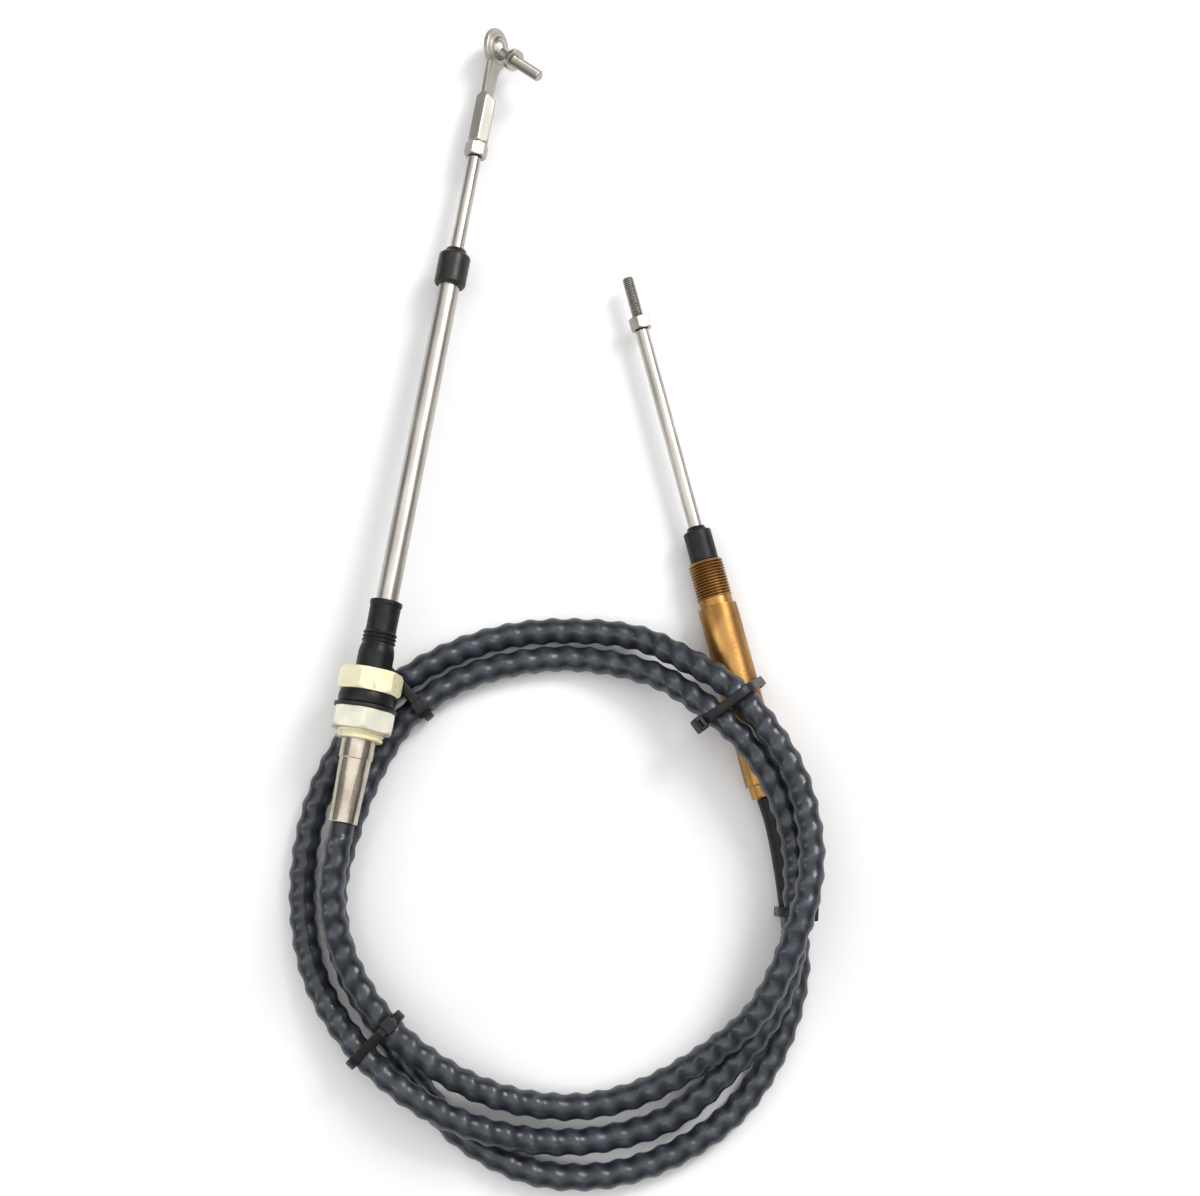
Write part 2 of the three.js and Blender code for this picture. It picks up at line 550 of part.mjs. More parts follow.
// Each held round is a centre in the cable's frame and a radius; run is the way that the strands run there.
function cableTie(name, held, run, headAngle) {
    const centre = new THREE.Vector3();
    held.forEach(({ at }) => centre.addScaledVector(at, 1 / held.length));
    const level = run.clone().setZ(0).normalize();
    const upright = new THREE.Vector3(0, 0, 1);
    const across = upright.clone().cross(level);
    const basis = new THREE.Matrix4().makeBasis(across, upright, level);
    const rounds = held.map(({ at, radius }) => {
        const offset = at.clone().sub(centre);
        return { x: offset.dot(across), y: offset.dot(upright), radius: radius + TIE_EASE };
    });
    const shape = new THREE.Shape(hullOf(rounds, TIE_SLACK + TIE_THICK));
    shape.holes.push(new THREE.Path(hullOf(rounds, TIE_SLACK)));
    const strapRing = new THREE.ExtrudeGeometry(shape, { depth: TIE_WIDTH, bevelEnabled: false });
    strapRing.translate(0, 0, -TIE_WIDTH / 2);
    const way = new THREE.Vector2(Math.cos(radians(headAngle)), Math.sin(radians(headAngle)));
    const nearest = furthest(rounds, way);
    const seatAt = new THREE.Vector2(nearest.x, nearest.y);
    seatAt.addScaledVector(way, nearest.radius + TIE_SLACK + TIE_HEAD[2] / 2 + TIE_HEAD_LIFT);
    const head = new THREE.BoxGeometry(TIE_HEAD[0], TIE_HEAD[2], TIE_HEAD[1]);
    head.rotateZ(radians(headAngle - 90)).translate(seatAt.x, seatAt.y, 0);
    const tie = piece(name, joined(strapRing, head), blackPlastic);
    tie.quaternion.setFromRotationMatrix(basis);
    tie.position.copy(centre);
}

// A place on the route, counted in route points from the ferrule's mouth.
const routeAt = (place) => route.getPoint(place / routeSpans);
const routeRun = (place) => route.getTangent(place / routeSpans);
const strand = (place) => ({ at: routeAt(place), radius: CONDUIT_RADIUS });
const sleeved = (place) => ({ at: routeAt(place), radius: SLEEVE_RADIUS });

// A tie stands across its second strand. Where that crosses the bronze body, it stands between the two.
function tieStrands(name, { places, headAngle }, alsoHeld = [], lean = new THREE.Vector3()) {
    const run = routeRun(places[Math.min(1, places.length - 1)]).add(lean);
    cableTie(name, [...places.map(strand), ...alsoHeld], run, headAngle);
}

const tiedBody = [-TIE_SPREAD, TIE_SPREAD].map((step) => (
    { at: onInput(UPPER_RIGHT_TIE.bodyStation + step), radius: BRASS_BODY_RADIUS - TIE_EASE / 2 }
));
const bodyLean = onInput(UPPER_RIGHT_TIE.lean).sub(onInput(0));
tieStrands('cable_tie_lower_left', LOWER_LEFT_TIE);
tieStrands('cable_tie_upper_left', UPPER_LEFT_TIE);
tieStrands('cable_tie_upper_right', UPPER_RIGHT_TIE, tiedBody, bodyLean);
tieStrands('cable_tie_right', RIGHT_TIE, [sleeved(RIGHT_TIE.sleevePlace)]);

// Bring the origin to the floor under the middle of the cable
cable.updateMatrixWorld(true);
const bounds = new THREE.Box3().setFromObject(cable, true);
const middle = bounds.getCenter(new THREE.Vector3());
cable.position.set(-middle.x, -middle.y, -bounds.min.z);
cable.updateMatrixWorld(true);

export default cable;
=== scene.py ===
import json

import bpy
import numpy as np
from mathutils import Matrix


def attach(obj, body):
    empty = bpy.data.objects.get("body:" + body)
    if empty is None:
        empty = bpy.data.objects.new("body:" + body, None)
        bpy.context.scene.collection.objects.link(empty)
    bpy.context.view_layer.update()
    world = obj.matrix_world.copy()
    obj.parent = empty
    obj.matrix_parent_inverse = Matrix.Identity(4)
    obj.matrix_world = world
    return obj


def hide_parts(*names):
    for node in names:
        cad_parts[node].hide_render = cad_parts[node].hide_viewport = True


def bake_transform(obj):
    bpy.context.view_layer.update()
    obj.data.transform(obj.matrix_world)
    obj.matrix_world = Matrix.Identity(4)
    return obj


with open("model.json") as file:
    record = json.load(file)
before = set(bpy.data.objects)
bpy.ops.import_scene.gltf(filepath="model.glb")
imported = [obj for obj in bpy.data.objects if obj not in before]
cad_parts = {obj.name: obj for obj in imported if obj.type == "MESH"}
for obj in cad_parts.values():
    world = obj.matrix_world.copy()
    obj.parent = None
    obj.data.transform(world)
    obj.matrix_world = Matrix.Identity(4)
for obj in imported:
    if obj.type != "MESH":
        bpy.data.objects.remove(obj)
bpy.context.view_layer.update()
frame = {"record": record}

# The camera of the photograph: it looks almost straight down on the cable, tipped nine degrees towards the
# picture's lower edge, from nine tenths of a metre. Places on the floor are drawn in the cable maker's own
# millimetres, and the swivel, which both drawings share, says how far those are from the row frame.
MM = 0.001
HUB_PLACE = np.array([-124.6, -113.6, 34.8])
HUB_HEADING = 9.58
HUB_FALL = 3.3
SWIVEL_STATION = 93.12


def axes_of(heading, fall):
    """The level, lengthwise and upright axes of a fitting: +Y turned clockwise by the heading, and dipped."""
    turn, dip = np.radians([heading, fall])
    across = np.array([np.cos(turn), -np.sin(turn), 0.0])
    along = np.array([np.sin(turn) * np.cos(dip), np.cos(turn) * np.cos(dip), -np.sin(dip)])
    return across, along, np.cross(across, along)


joints = frame["record"]["behaviour"]["joints"]
swivel_at = next(joint["pos_m"] for joint in joints if joint["name"] == "guide_swivel")
hub_along = axes_of(HUB_HEADING, HUB_FALL)[1]
DRAWN_AT = np.array(swivel_at) - MM * (HUB_PLACE + SWIVEL_STATION * hub_along)


def placed(point):
    """A drawn place in millimetres, as metres of the row frame."""
    return DRAWN_AT + MM * np.asarray(point, dtype=float)


CAMERA_TILT = 9.0
CAMERA_FROM = (0.0, -142.2, 912.8)
CAMERA_LENS = 54.0
CAMERA_SENSOR = 36.0
CAMERA_NEAR = 0.02
camera = bpy.data.objects.new("camera", bpy.data.cameras.new("camera"))
bpy.context.scene.collection.objects.link(camera)
camera.data.lens = CAMERA_LENS
camera.data.sensor_width = CAMERA_SENSOR
camera.data.clip_start = CAMERA_NEAR
camera.location = placed(CAMERA_FROM)
camera.rotation_euler = (np.radians(CAMERA_TILT), 0.0, 0.0)
bpy.context.scene.camera = camera

# The conduit: steel wires wound round a liner, under a slate grey plastic jacket that is extruded over them
# with one rib that climbs it like a screw. It leaves the crimped ferrule smooth, makes two and a half loose
# turns, and goes under the rubber sleeve of the other end.
ROUTE = [
    [-129.5, -147.5, 34], [-126.5, -168, 30], [-118.5, -188, 25], [-105.5, -207, 22.6],
    [-86.5, -224.5, 21], [-61.5, -239.5, 16], [-35, -248, 10], [-7, -249.5, 8],
    [20.5, -242.5, 10.5], [46, -228.5, 17], [70, -209.5, 28], [83, -191, 34.6],
    [94, -165, 38.8], [100.5, -142.5, 38.5], [101.5, -120, 37.4], [95.5, -93, 37.4],
    [82.5, -69, 37.9], [65.5, -48, 32.5], [45.5, -34, 25.5], [20, -20.5, 13.5],
    [-10, -16, 8.5], [-42, -17.5, 6.7], [-73, -26.5, 7.5], [-100.5, -42.5, 9.2],
    [-124, -67, 7.3], [-139.5, -96, 6.6], [-147, -128, 6.6], [-147, -160.5, 7],
    [-139, -190.5, 9.5], [-120.5, -218, 15], [-94, -241, 20.8], [-64, -257, 19],
    [-31, -265.5, 11], [2, -265, 6.7], [35, -254.5, 8.5], [60.5, -233, 12.8],
    [79.5, -210.5, 17.9], [91.5, -184.5, 20.9], [95.5, -154, 22.6], [95, -125, 24.2],
    [88, -100.5, 27.9], [74, -76.5, 30.2], [55, -58.5, 28], [28, -39.5, 17],
    [-8, -30.3, 7], [-40, -31.8, 6.6], [-70.5, -40.8, 7.5], [-95.5, -58, 9.2],
    [-113, -84, 7], [-125.5, -116, 6.6], [-132, -150, 6.6], [-124, -185, 7.2],
    [-106, -213, 9.2], [-87.5, -241, 7.2], [-67, -263.5, 6.6], [-35, -280, 6.6],
    [0, -282.5, 6.6], [35, -272.5, 6.6], [66, -251.5, 6.6], [87, -220.5, 6.6],
    [97, -185, 7], [94, -149, 9.1],
]
INPUT_PLACE = np.array([84.1, -99.3, 11.9])
INPUT_HEADING = -14.56
SLEEVE_LENGTH = 66.0
CLEARANCE = 0.3
STRAIGHT_OUT = 15.0
STRAIGHT_IN = 20.0
MEASURING_STEPS = 20000
input_along = axes_of(INPUT_HEADING, 0.0)[1]
route_points = np.array([
    HUB_PLACE - CLEARANCE * hub_along,
    HUB_PLACE - STRAIGHT_OUT * hub_along,
    *ROUTE,
    INPUT_PLACE - STRAIGHT_IN * input_along,
    INPUT_PLACE - CLEARANCE * input_along,
])


def on_route(place):
    """The route as a smooth curve through its points: in each span, the cubic whose ends lean along the line
    between the points on either side. A place counts points from the ferrule's mouth."""
    ends = [2 * route_points[0] - route_points[1]], [2 * route_points[-1] - route_points[-2]]
    points = np.concatenate([ends[0], route_points, ends[1]])
    place = np.atleast_1d(np.asarray(place, dtype=float))
    span = np.clip(place.astype(int), 0, len(route_points) - 2)
    t = (place - span)[:, None]
    before, start, end, after = (points[span + step] for step in range(4))
    lean_in, lean_out = (end - before) / 2, (after - start) / 2
    bend = 2 * (start - end) + lean_in + lean_out
    return start + lean_in * t + (3 * (end - start) - 2 * lean_in - lean_out) * t**2 + bend * t**3


def along_route(distances):
    """Points at these distances from the ferrule's mouth, read off the summed lengths of short steps."""
    places = np.linspace(0, len(route_points) - 1, MEASURING_STEPS)
    fine = on_route(places)
    walked = np.concatenate([[0], np.cumsum(np.linalg.norm(np.diff(fine, axis=0), axis=1))])
    return on_route(np.interp(distances, walked, places)), walked[-1]


def carried_axes(centres):
    """Two axes across a path, carried along it without twisting: each step takes out of the last axis what
    points along the path."""
    tangent = np.gradient(centres, axis=0)
    tangent /= np.linalg.norm(tangent, axis=1)[:, None]
    first = np.zeros_like(centres)
    axis = np.cross(tangent[0], [0.0, 0.0, 1.0])
    for step, heading in enumerate(tangent):
        axis = axis - heading * np.dot(axis, heading)
        axis = axis / np.linalg.norm(axis)
        first[step] = axis
    return first, np.cross(tangent, first)


SHARP_EDGE = 38


def skin(name, rings, own, relief=None, ring_shaped=False, sharp=SHARP_EDGE):
    """A closed mesh over a grid of points, rings by places round them. Its ends close on a middle point, or
    on each other where the piece is itself a ring. The volume's sign turns the faces outwards. Each point
    keeps its own place on the piece, and how far it stands up in a rib or thread, for the finishes to read.
    Edges steeper than the sharp angle stay sharp in the light."""
    count, around = rings.shape[:2]
    ids = np.arange(count * around).reshape(count, around)
    lower = ids if ring_shaped else ids[:-1]
    upper = np.roll(ids, -1, axis=0) if ring_shaped else ids[1:]
    beside_upper, beside_lower = np.roll(upper, -1, axis=1), np.roll(lower, -1, axis=1)
    quads = np.stack([lower, upper, beside_upper, beside_lower], axis=-1).reshape(-1, 4)
    points = rings.reshape(-1, 3)
    own = own.reshape(-1, 3)
    relief = np.broadcast_to(1.0 if relief is None else relief, (count, around)).reshape(-1)
    corners = quads[:, [0, 1, 2, 0, 2, 3]].reshape(-1, 3)
    faces = quads.tolist()
    if not ring_shaped:
        points = np.concatenate([points, [rings[0].mean(axis=0), rings[-1].mean(axis=0)]])
        own = np.concatenate([own, [own[:around].mean(axis=0), own[-around:].mean(axis=0)]])
        relief = np.concatenate([relief, [1.0, 1.0]])
        near, far = len(points) - 2, len(points) - 1
        first = np.stack([np.full(around, near), ids[0], np.roll(ids[0], -1)], axis=-1)
        last = np.stack([np.full(around, far), np.roll(ids[-1], -1), ids[-1]], axis=-1)
        corners = np.concatenate([corners, first, last])
        faces = faces + first.tolist() + last.tolist()
    a, b, c = (points[corners[:, corner]] - points.mean(axis=0) for corner in range(3))
    if np.einsum("ij,ij->i", a, np.cross(b, c)).sum() < 0:
        faces = [face[::-1] for face in faces]
    mesh = bpy.data.meshes.new(name)
    mesh.from_pydata(points.tolist(), [], faces)
    mesh.shade_smooth()
    mesh.set_sharp_from_angle(angle=np.radians(sharp))
    mesh.attributes.new("own", "FLOAT_VECTOR", "POINT").data.foreach_set("vector", own.ravel())
    mesh.attributes.new("relief", "FLOAT", "POINT").data.foreach_set("value", relief.astype(np.float32))
    piece = bpy.data.objects.new(name, mesh)
    bpy.context.scene.collection.objects.link(piece)
    return piece


def pipe(name, centres, radii, around, relief=None):
    """A round skin along a path: centre + radius times (first axis by cosine + second axis by sine). Centres
    and radii are in millimetres, and radii may differ round each ring."""
    angle = np.linspace(0, 2 * np.pi, around, endpoint=False)[None, :, None]
    radii = np.broadcast_to(radii, (len(centres), around))[..., None]
    first, second = (axis[:, None, :] for axis in carried_axes(centres))
    walked = np.concatenate([[0], np.cumsum(np.linalg.norm(np.diff(centres, axis=0), axis=1))])
    along = radii * 0 + walked[:, None, None]
    own = np.concatenate([radii * np.cos(angle), along, radii * np.sin(angle)], axis=-1)
    rings = centres[:, None, :] + radii * (first * np.cos(angle) + second * np.sin(angle))
    return skin(name, placed(rings), own * MM, relief)


RIB_PITCH = 11.3
RIB_STEPS = 14
CONDUIT_SIDES = 36
VALLEY_RADIUS = 5.8
RIB_HEIGHT = 1.0
RIB_SHARPNESS = 1.25
SMOOTH_END = 5.0
FADE_LENGTH = 3.0
route_length = along_route(0)[1]
jacket_length = route_length - SLEEVE_LENGTH
conduit_walk = np.linspace(0, jacket_length, int(jacket_length / RIB_PITCH * RIB_STEPS))
conduit_line = along_route(conduit_walk)[0]
conduit_turn = np.linspace(0, 1, CONDUIT_SIDES, endpoint=False)[None, :]
rib = ((1 + np.cos(2 * np.pi * (conduit_walk[:, None] / RIB_PITCH - conduit_turn))) / 2) ** RIB_SHARPNESS
rib = rib * np.clip((conduit_walk[:, None] - SMOOTH_END) / FADE_LENGTH, 0, 1)
conduit = pipe("ribbed_conduit", conduit_line, VALLEY_RADIUS + RIB_HEIGHT * rib, CONDUIT_SIDES, rib)


def finish_named(name, **sockets):
    """A new procedural finish, with these constants on its shader's own sockets."""
    made = bpy.data.materials.new(name)
    made.use_nodes = True
    for socket, value in sockets.items():
        made.node_tree.nodes["Principled BSDF"].inputs[socket.replace("_", " ")].default_value = value
    return made


def step(made, kind, output=0, settings=(), **inputs):
    """One node of a finish. Each input is a constant, or an earlier step's output. Returns its own output."""
    node = made.node_tree.nodes.new("ShaderNode" + kind)
    for key, value in dict(settings).items():
        setattr(node, key, value)
    for key, value in inputs.items():
        socket = node.inputs[int(key[1:]) if key[0] == "_" else key.replace("_", " ")]
        if isinstance(value, bpy.types.NodeSocket):
            made.node_tree.links.new(value, socket)
        else:
            socket.default_value = value
    return node.outputs[output]


def read(made, attribute, stretch=None):
    """The piece's own coordinates or relief. Stretch scales coordinates, to draw a pattern out one way."""
    output = "Fac" if attribute == "relief" else "Vector"
    value = step(made, "Attribute", output, {"attribute_name": attribute})
    return value if stretch is None else step(made, "Mapping", Vector=value, Scale=stretch)


def noise(made, where, scale, detail=4.0):
    return step(made, "TexNoise", "Fac", Vector=where, Scale=scale, Detail=detail)


def ranged(made, value, low, high, start=0.3, end=0.7):
    """A value that climbs from low to high while the given one goes from start to end."""
    inputs = {"_0": value, "_1": start, "_2": end, "_3": low, "_4": high}
    return step(made, "MapRange", **inputs)


def blended(made, amount, first, second):
    """A colour that goes from the first to the second as the amount goes from 0 to 1."""
    settings = {"data_type": "RGBA"}
    return step(made, "Mix", 2, settings, _0=amount, _6=first, _7=second)


def bump(made, height, distance, strength=1.0, under=None):
    inputs = {"Strength": strength, "Distance": distance, "Height": height}
    if under is not None:
        inputs["Normal"] = under
    return step(made, "Bump", **inputs)


def wear(made, **linked):
    """Links colour, roughness and normal to the shader."""
    shader = made.node_tree.nodes["Principled BSDF"]
    for key, value in linked.items():
        made.node_tree.links.new(value, shader.inputs[key.replace("_", " ")])
    return made


JACKET_DARK = (0.016, 0.020, 0.028, 1)
JACKET_LIGHT = (0.032, 0.038, 0.051, 1)
JACKET_VALLEY_SHADE = (0.007, 0.0085, 0.012, 1)
JACKET_RUBBED = (0.105, 0.118, 0.145, 1)
jacket = finish_named("slate_jacket", Specular_IOR_Level=0.55)
jacket_place = read(jacket, "own")
jacket_cloud = noise(jacket, jacket_place, 55.0)
jacket_tint = blended(jacket, ranged(jacket, jacket_cloud, 0, 1), JACKET_DARK, JACKET_LIGHT)
# Painted shade: where the rib's relief falls, the colour darkens towards the valley colour, standing in for
# the shade in the valleys between the ribs.
jacket_valley_shade = ranged(jacket, read(jacket, "relief"), 0.85, 0, 0.0, 0.55)
jacket_tint = blended(jacket, jacket_valley_shade, jacket_tint, JACKET_VALLEY_SHADE)
jacket_scuff = ranged(jacket, noise(jacket, read(jacket, "own", (1, 0.35, 1)), 420.0), 0, 1, 0.5, 0.72)
jacket_crest = ranged(jacket, read(jacket, "relief"), 0, 0.55, 0.55, 1.0)
jacket_rub = step(jacket, "Math", 0, {"operation": "MULTIPLY"}, _0=jacket_scuff, _1=jacket_crest)
jacket_grain = noise(jacket, jacket_place, 1600.0, 2.0)
wear(
    jacket,
    Base_Color=blended(jacket, jacket_rub, jacket_tint, JACKET_RUBBED),
    Roughness=ranged(jacket, noise(jacket, jacket_place, 140.0), 0.26, 0.40),
    Normal=bump(jacket, jacket_grain, 0.00012, 0.5, bump(jacket, jacket_cloud, 0.0012, 0.4)),
)
conduit.data.materials.append(jacket)
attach(conduit, "cable")
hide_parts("conduit")

# The rubber sleeve: a smooth black tube pushed over the end of the jacket and the neck of the bronze body,
# to keep water out where the cable goes in. It grips by its own stretch, and swells a little at its ends.
SLEEVE_RADIUS = 6.05
SLEEVE_SWELL = 0.25
SWELL_REACH = 5.0
MOUTH_DROP = 0.5
MOUTH_REACH = 0.8
SLEEVE_RINGS = 90
SLEEVE_SIDES = 40
sleeve_walk = np.linspace(jacket_length + CLEARANCE, route_length, SLEEVE_RINGS)
sleeve_line = along_route(sleeve_walk)[0]
from_mouth = np.minimum(sleeve_walk - sleeve_walk[0], sleeve_walk[-1] - sleeve_walk)
sleeve_edge = np.sqrt(np.clip(from_mouth / MOUTH_REACH, 0.02, 1)) - 1
sleeve_swell = SLEEVE_SWELL * np.exp(-((from_mouth / SWELL_REACH) ** 2))
sleeve_radii = SLEEVE_RADIUS + sleeve_swell + MOUTH_DROP * sleeve_edge
sleeve = pipe("rubber_sleeve", sleeve_line, sleeve_radii[:, None], SLEEVE_SIDES)

RUBBER_DARK = (0.005, 0.005, 0.0055, 1)
RUBBER_DUSTY = (0.011, 0.011, 0.0115, 1)
rubber = finish_named("black_rubber", Specular_IOR_Level=0.28)
rubber_place = read(rubber, "own")
rubber_cloud = noise(rubber, rubber_place, 120.0)
rubber_grain = noise(rubber, rubber_place, 2200.0, 2.0)
wear(
    rubber,
    Base_Color=blended(rubber, ranged(rubber, rubber_cloud, 0, 1, 0.4, 0.75), RUBBER_DARK, RUBBER_DUSTY),
    Roughness=ranged(rubber, noise(rubber, rubber_place, 260.0), 0.34, 0.52),
    Normal=bump(rubber, rubber_grain, 0.0001, 0.6, bump(rubber, rubber_cloud, 0.0008, 0.3)),
)
sleeve.data.materials.append(rubber)
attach(sleeve, "cable")
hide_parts("input_sleeve")

# The hub ferrule: a nickel plated steel tube. Its mouth is crimped on the jacket in six shallow flats, a
# ledge marks where the plain barrel starts, and the barrel goes up through the hull fitting to a dished seat.
CRIMP_LENGTH = 31.5
CRIMP_DEPTH = 0.22
CRIMP_FLATS = 6
MOUTH_RADIUS = 7.0
CRIMP_RADIUS = 7.8
BARREL_RADIUS = 8.3
BARREL_END = 76.0
SPIGOT_RADIUS = 6.5
SPIGOT_END = 90.0
seat_corners = [(4.53, SPIGOT_END), (3.86, 89.2), (2.82, 88.4), (0, 87.62)]
ferrule_corners = [
    (0, 0), (MOUTH_RADIUS, 0), (7.25, 9), (7.62, 22), (CRIMP_RADIUS, CRIMP_LENGTH),
    (BARREL_RADIUS, CRIMP_LENGTH), (BARREL_RADIUS, BARREL_END), (SPIGOT_RADIUS, BARREL_END),
    (SPIGOT_RADIUS, SPIGOT_END), *seat_corners,
]


def fitting_frame(place, heading, fall):
    """Where a fitting's station 0 is, in metres, and its three axes, each a millimetre long."""
    return (placed(place), *(MM * axis for axis in axes_of(heading, fall)))


hub = fitting_frame(HUB_PLACE, HUB_HEADING, HUB_FALL)


SIDE_SHARE = 0.4
JUST_BEYOND = 1.2


def softened(corners, radius, ring_shaped=False):
    """A profile whose corners are rounded. Each becomes five points of the parabola that leaves one side and
    meets the next at the radius from the corner, or at 0.4 of a shorter side, with one more point on each
    side just beyond, so that the flats stay flat in the light."""
    corners = np.array(corners, dtype=float)
    before, after = np.roll(corners, 1, axis=0) - corners, np.roll(corners, -1, axis=0) - corners
    reach_before, reach_after = (np.linalg.norm(side, axis=1)[:, None] for side in (before, after))
    start = corners + before / reach_before * np.minimum(radius, SIDE_SHARE * reach_before)
    end = corners + after / reach_after * np.minimum(radius, SIDE_SHARE * reach_after)
    t = np.linspace(0, 1, 5)[None, :, None]
    arcs = start[:, None] * (1 - t) ** 2 + 2 * corners[:, None] * t * (1 - t) + end[:, None] * t**2
    beyond_start = corners + JUST_BEYOND * (start - corners)
    beyond_end = corners + JUST_BEYOND * (end - corners)
    arcs = np.concatenate([beyond_start[:, None], arcs, beyond_end[:, None]], axis=1)
    if ring_shaped:
        return arcs.reshape(-1, 2)
    return np.concatenate([corners[:1], arcs[1:-1].reshape(-1, 2), corners[-1:]])


ZONE_MARGIN = 1.1


def spaced(profile, gap, ring_shaped=False, zone=(0, 0), fine_gap=1.0):
    """The profile with points added so that no step along it is longer than the gap, or than the fine gap on
    a side that lies in a threaded zone of stations."""
    ends = np.concatenate([profile, profile[:1]]) if ring_shaped else profile
    parts = []
    for start, end in zip(ends[:-1], ends[1:]):
        low, high = sorted((start[1], end[1]))
        threaded = low > zone[0] - ZONE_MARGIN and high < zone[1] + ZONE_MARGIN
        steps = np.ceil(np.linalg.norm(end - start) / (fine_gap if threaded else gap))
        parts.append(np.linspace(start, end, max(1, int(steps)), endpoint=False))
    return np.concatenate(parts if ring_shaped else parts + [ends[-1:]])


def turned(name, fitting, profile, around=64, shape=None, ring_shaped=False, sharp=SHARP_EDGE):
    """A skin turned about a fitting: station along it, and radius times cosine across and sine up. Profile
    rows are radius and station. Shape may change the radius with the station and angle, and gives the
    relief."""
    origin, across, along, upright = fitting
    if not ring_shaped:
        profile = np.array(profile)[1:-1]
    radius, station = (np.array(profile)[:, column][:, None] for column in range(2))
    angle = np.linspace(0, 2 * np.pi, around, endpoint=False)[None, :]
    relief = None
    radius, station = radius + 0 * angle, station + 0 * angle
    if shape is not None:
        radius, relief = shape(radius, station, angle)
    x, z = radius * np.cos(angle), radius * np.sin(angle)
    rings = origin + x[..., None] * across + station[..., None] * along + z[..., None] * upright
    return skin(name, rings, np.stack([x, station, z], axis=-1) * MM, relief, ring_shaped, sharp)


def ring_turned(name, fitting, corners, rounding, gap, around=64, shape=None):
    """A turned piece that is itself a ring, with rounded corners."""
    profile = spaced(softened(corners, rounding, True), gap, True)
    return turned(name, fitting, profile, around, shape, True)


def crimped(radius, station, angle):
    """Six flats pressed into the mouth: the radius falls with the sixth harmonic of the angle. The pressing
    starts 2 mm in, over 3 mm, ends 6 mm before the ledge, over 5 mm, and shows as relief."""
    pressed = np.clip((station - 2) / 3, 0, 1) * np.clip((CRIMP_LENGTH - 6 - station) / 5, 0, 1)
    flat = (1 + np.cos(CRIMP_FLATS * angle)) / 2
    return radius - CRIMP_DEPTH * pressed * flat, 1 - pressed * flat


ferrule = turned("hub_ferrule_tube", hub, spaced(softened(ferrule_corners, 0.35), 2.0), 72, crimped)

NICKEL_WARM = (0.60, 0.54, 0.45, 1)
NICKEL_DULL = (0.38, 0.33, 0.26, 1)
nickel = finish_named("nickel_plate", Metallic=1.0)
nickel_lines = noise(nickel, read(nickel, "own", (1, 0.04, 1)), 900.0)
nickel_cloud = noise(nickel, read(nickel, "own"), 110.0)
wear(
    nickel,
    Base_Color=blended(nickel, ranged(nickel, nickel_cloud, 0, 0.8), NICKEL_WARM, NICKEL_DULL),
    Roughness=ranged(nickel, nickel_lines, 0.16, 0.34),
    Normal=bump(nickel, nickel_lines, 0.00022, 0.6, bump(nickel, nickel_cloud, 0.0006, 0.3)),
)
ferrule.data.materials.append(nickel)
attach(ferrule, "cable")
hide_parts("hub_ferrule")

# The hull fitting: one moulding of cream plastic, yellowed and stained, with a chamfered hexagon head and a
# threaded barrel that goes through the boat's side. Its bore turns freely on the ferrule's barrel.
HULL_BORE = 8.65
HULL_THREAD = (41.0, 64.0)
HULL_THREAD_RADIUS = 11.5
HULL_PITCH = 2.0
HULL_DEPTH = 0.75
HULL_HEAD = (64.7, 75.7)
HULL_FLATS = 28
HULL_TURN = -18
HULL_CORNER = 16.4
HULL_BREAK = (2.0, 1.7)
HULL_WIDEST = 17.2
hull_corners = [
    (HULL_BORE, HULL_THREAD[0]), (HULL_THREAD_RADIUS - 0.5, HULL_THREAD[0]),
    (HULL_THREAD_RADIUS, HULL_THREAD[0] + 0.6), (HULL_THREAD_RADIUS, 64.2),
    (HULL_THREAD_RADIUS, HULL_HEAD[0]), (HULL_WIDEST, HULL_HEAD[0]), (HULL_WIDEST, HULL_HEAD[1]),
    (HULL_BORE, HULL_HEAD[1]),
]


def hexagon(radius, angle, flats, turn):
    """The radius cut to a hexagon: half the width across flats over the cosine of the angle to the nearest
    flat's middle. Turn is a corner's angle in degrees."""
    sixth = np.pi / 3
    to_flat = (angle - np.radians(turn)) % sixth - sixth / 2
    return np.minimum(radius, flats / 2 / np.cos(to_flat))


def chamfered(station, ends, corner, length, drop):
    """The radius of the cone that breaks a hexagon's corners near both ends: it falls from the corner by the
    drop over the length."""
    into = np.minimum(station - ends[0], ends[1] - station)
    return corner - drop * np.clip(1 - into / length, 0, 1)


FLANK_SLOPE = 1.5
ROOT_WIDTH = 0.22


def thread(radius, station, angle, ends, pitch, depth):
    """A right-hand thread: its phase is the station over the pitch plus the share of a turn, its ridge a
    clipped triangle wave of that, and it fades in over half a pitch at each end."""
    wave = np.abs(2 * ((station / pitch + angle / (2 * np.pi)) % 1) - 1)
    ridge = np.clip(FLANK_SLOPE * wave - ROOT_WIDTH, 0, 1)
    shown = np.clip(np.minimum(station - ends[0], ends[1] - station) / (pitch / 2), 0, 1)
    return radius - depth * (1 - ridge) * shown, 1 - (1 - ridge) * shown


def hull_shape(radius, station, angle):
    """A thread on the barrel's outside, and the hexagon with its corners broken on the head's."""
    outside = radius > HULL_BORE + 1
    cut, ridge = thread(radius, station, angle, HULL_THREAD, HULL_PITCH, HULL_DEPTH)
    head = hexagon(radius, angle, HULL_FLATS, HULL_TURN)
    head = np.minimum(head, chamfered(station, HULL_HEAD, HULL_CORNER, *HULL_BREAK))
    on_head = station >= HULL_HEAD[0]
    shaped = np.where(on_head, head, cut)
    return np.where(outside, shaped, radius), np.where(outside & ~on_head, ridge, 1)


hull_fitting = ring_turned("hull_fitting_body", hub, hull_corners, 0.3, 0.25, 96, hull_shape)

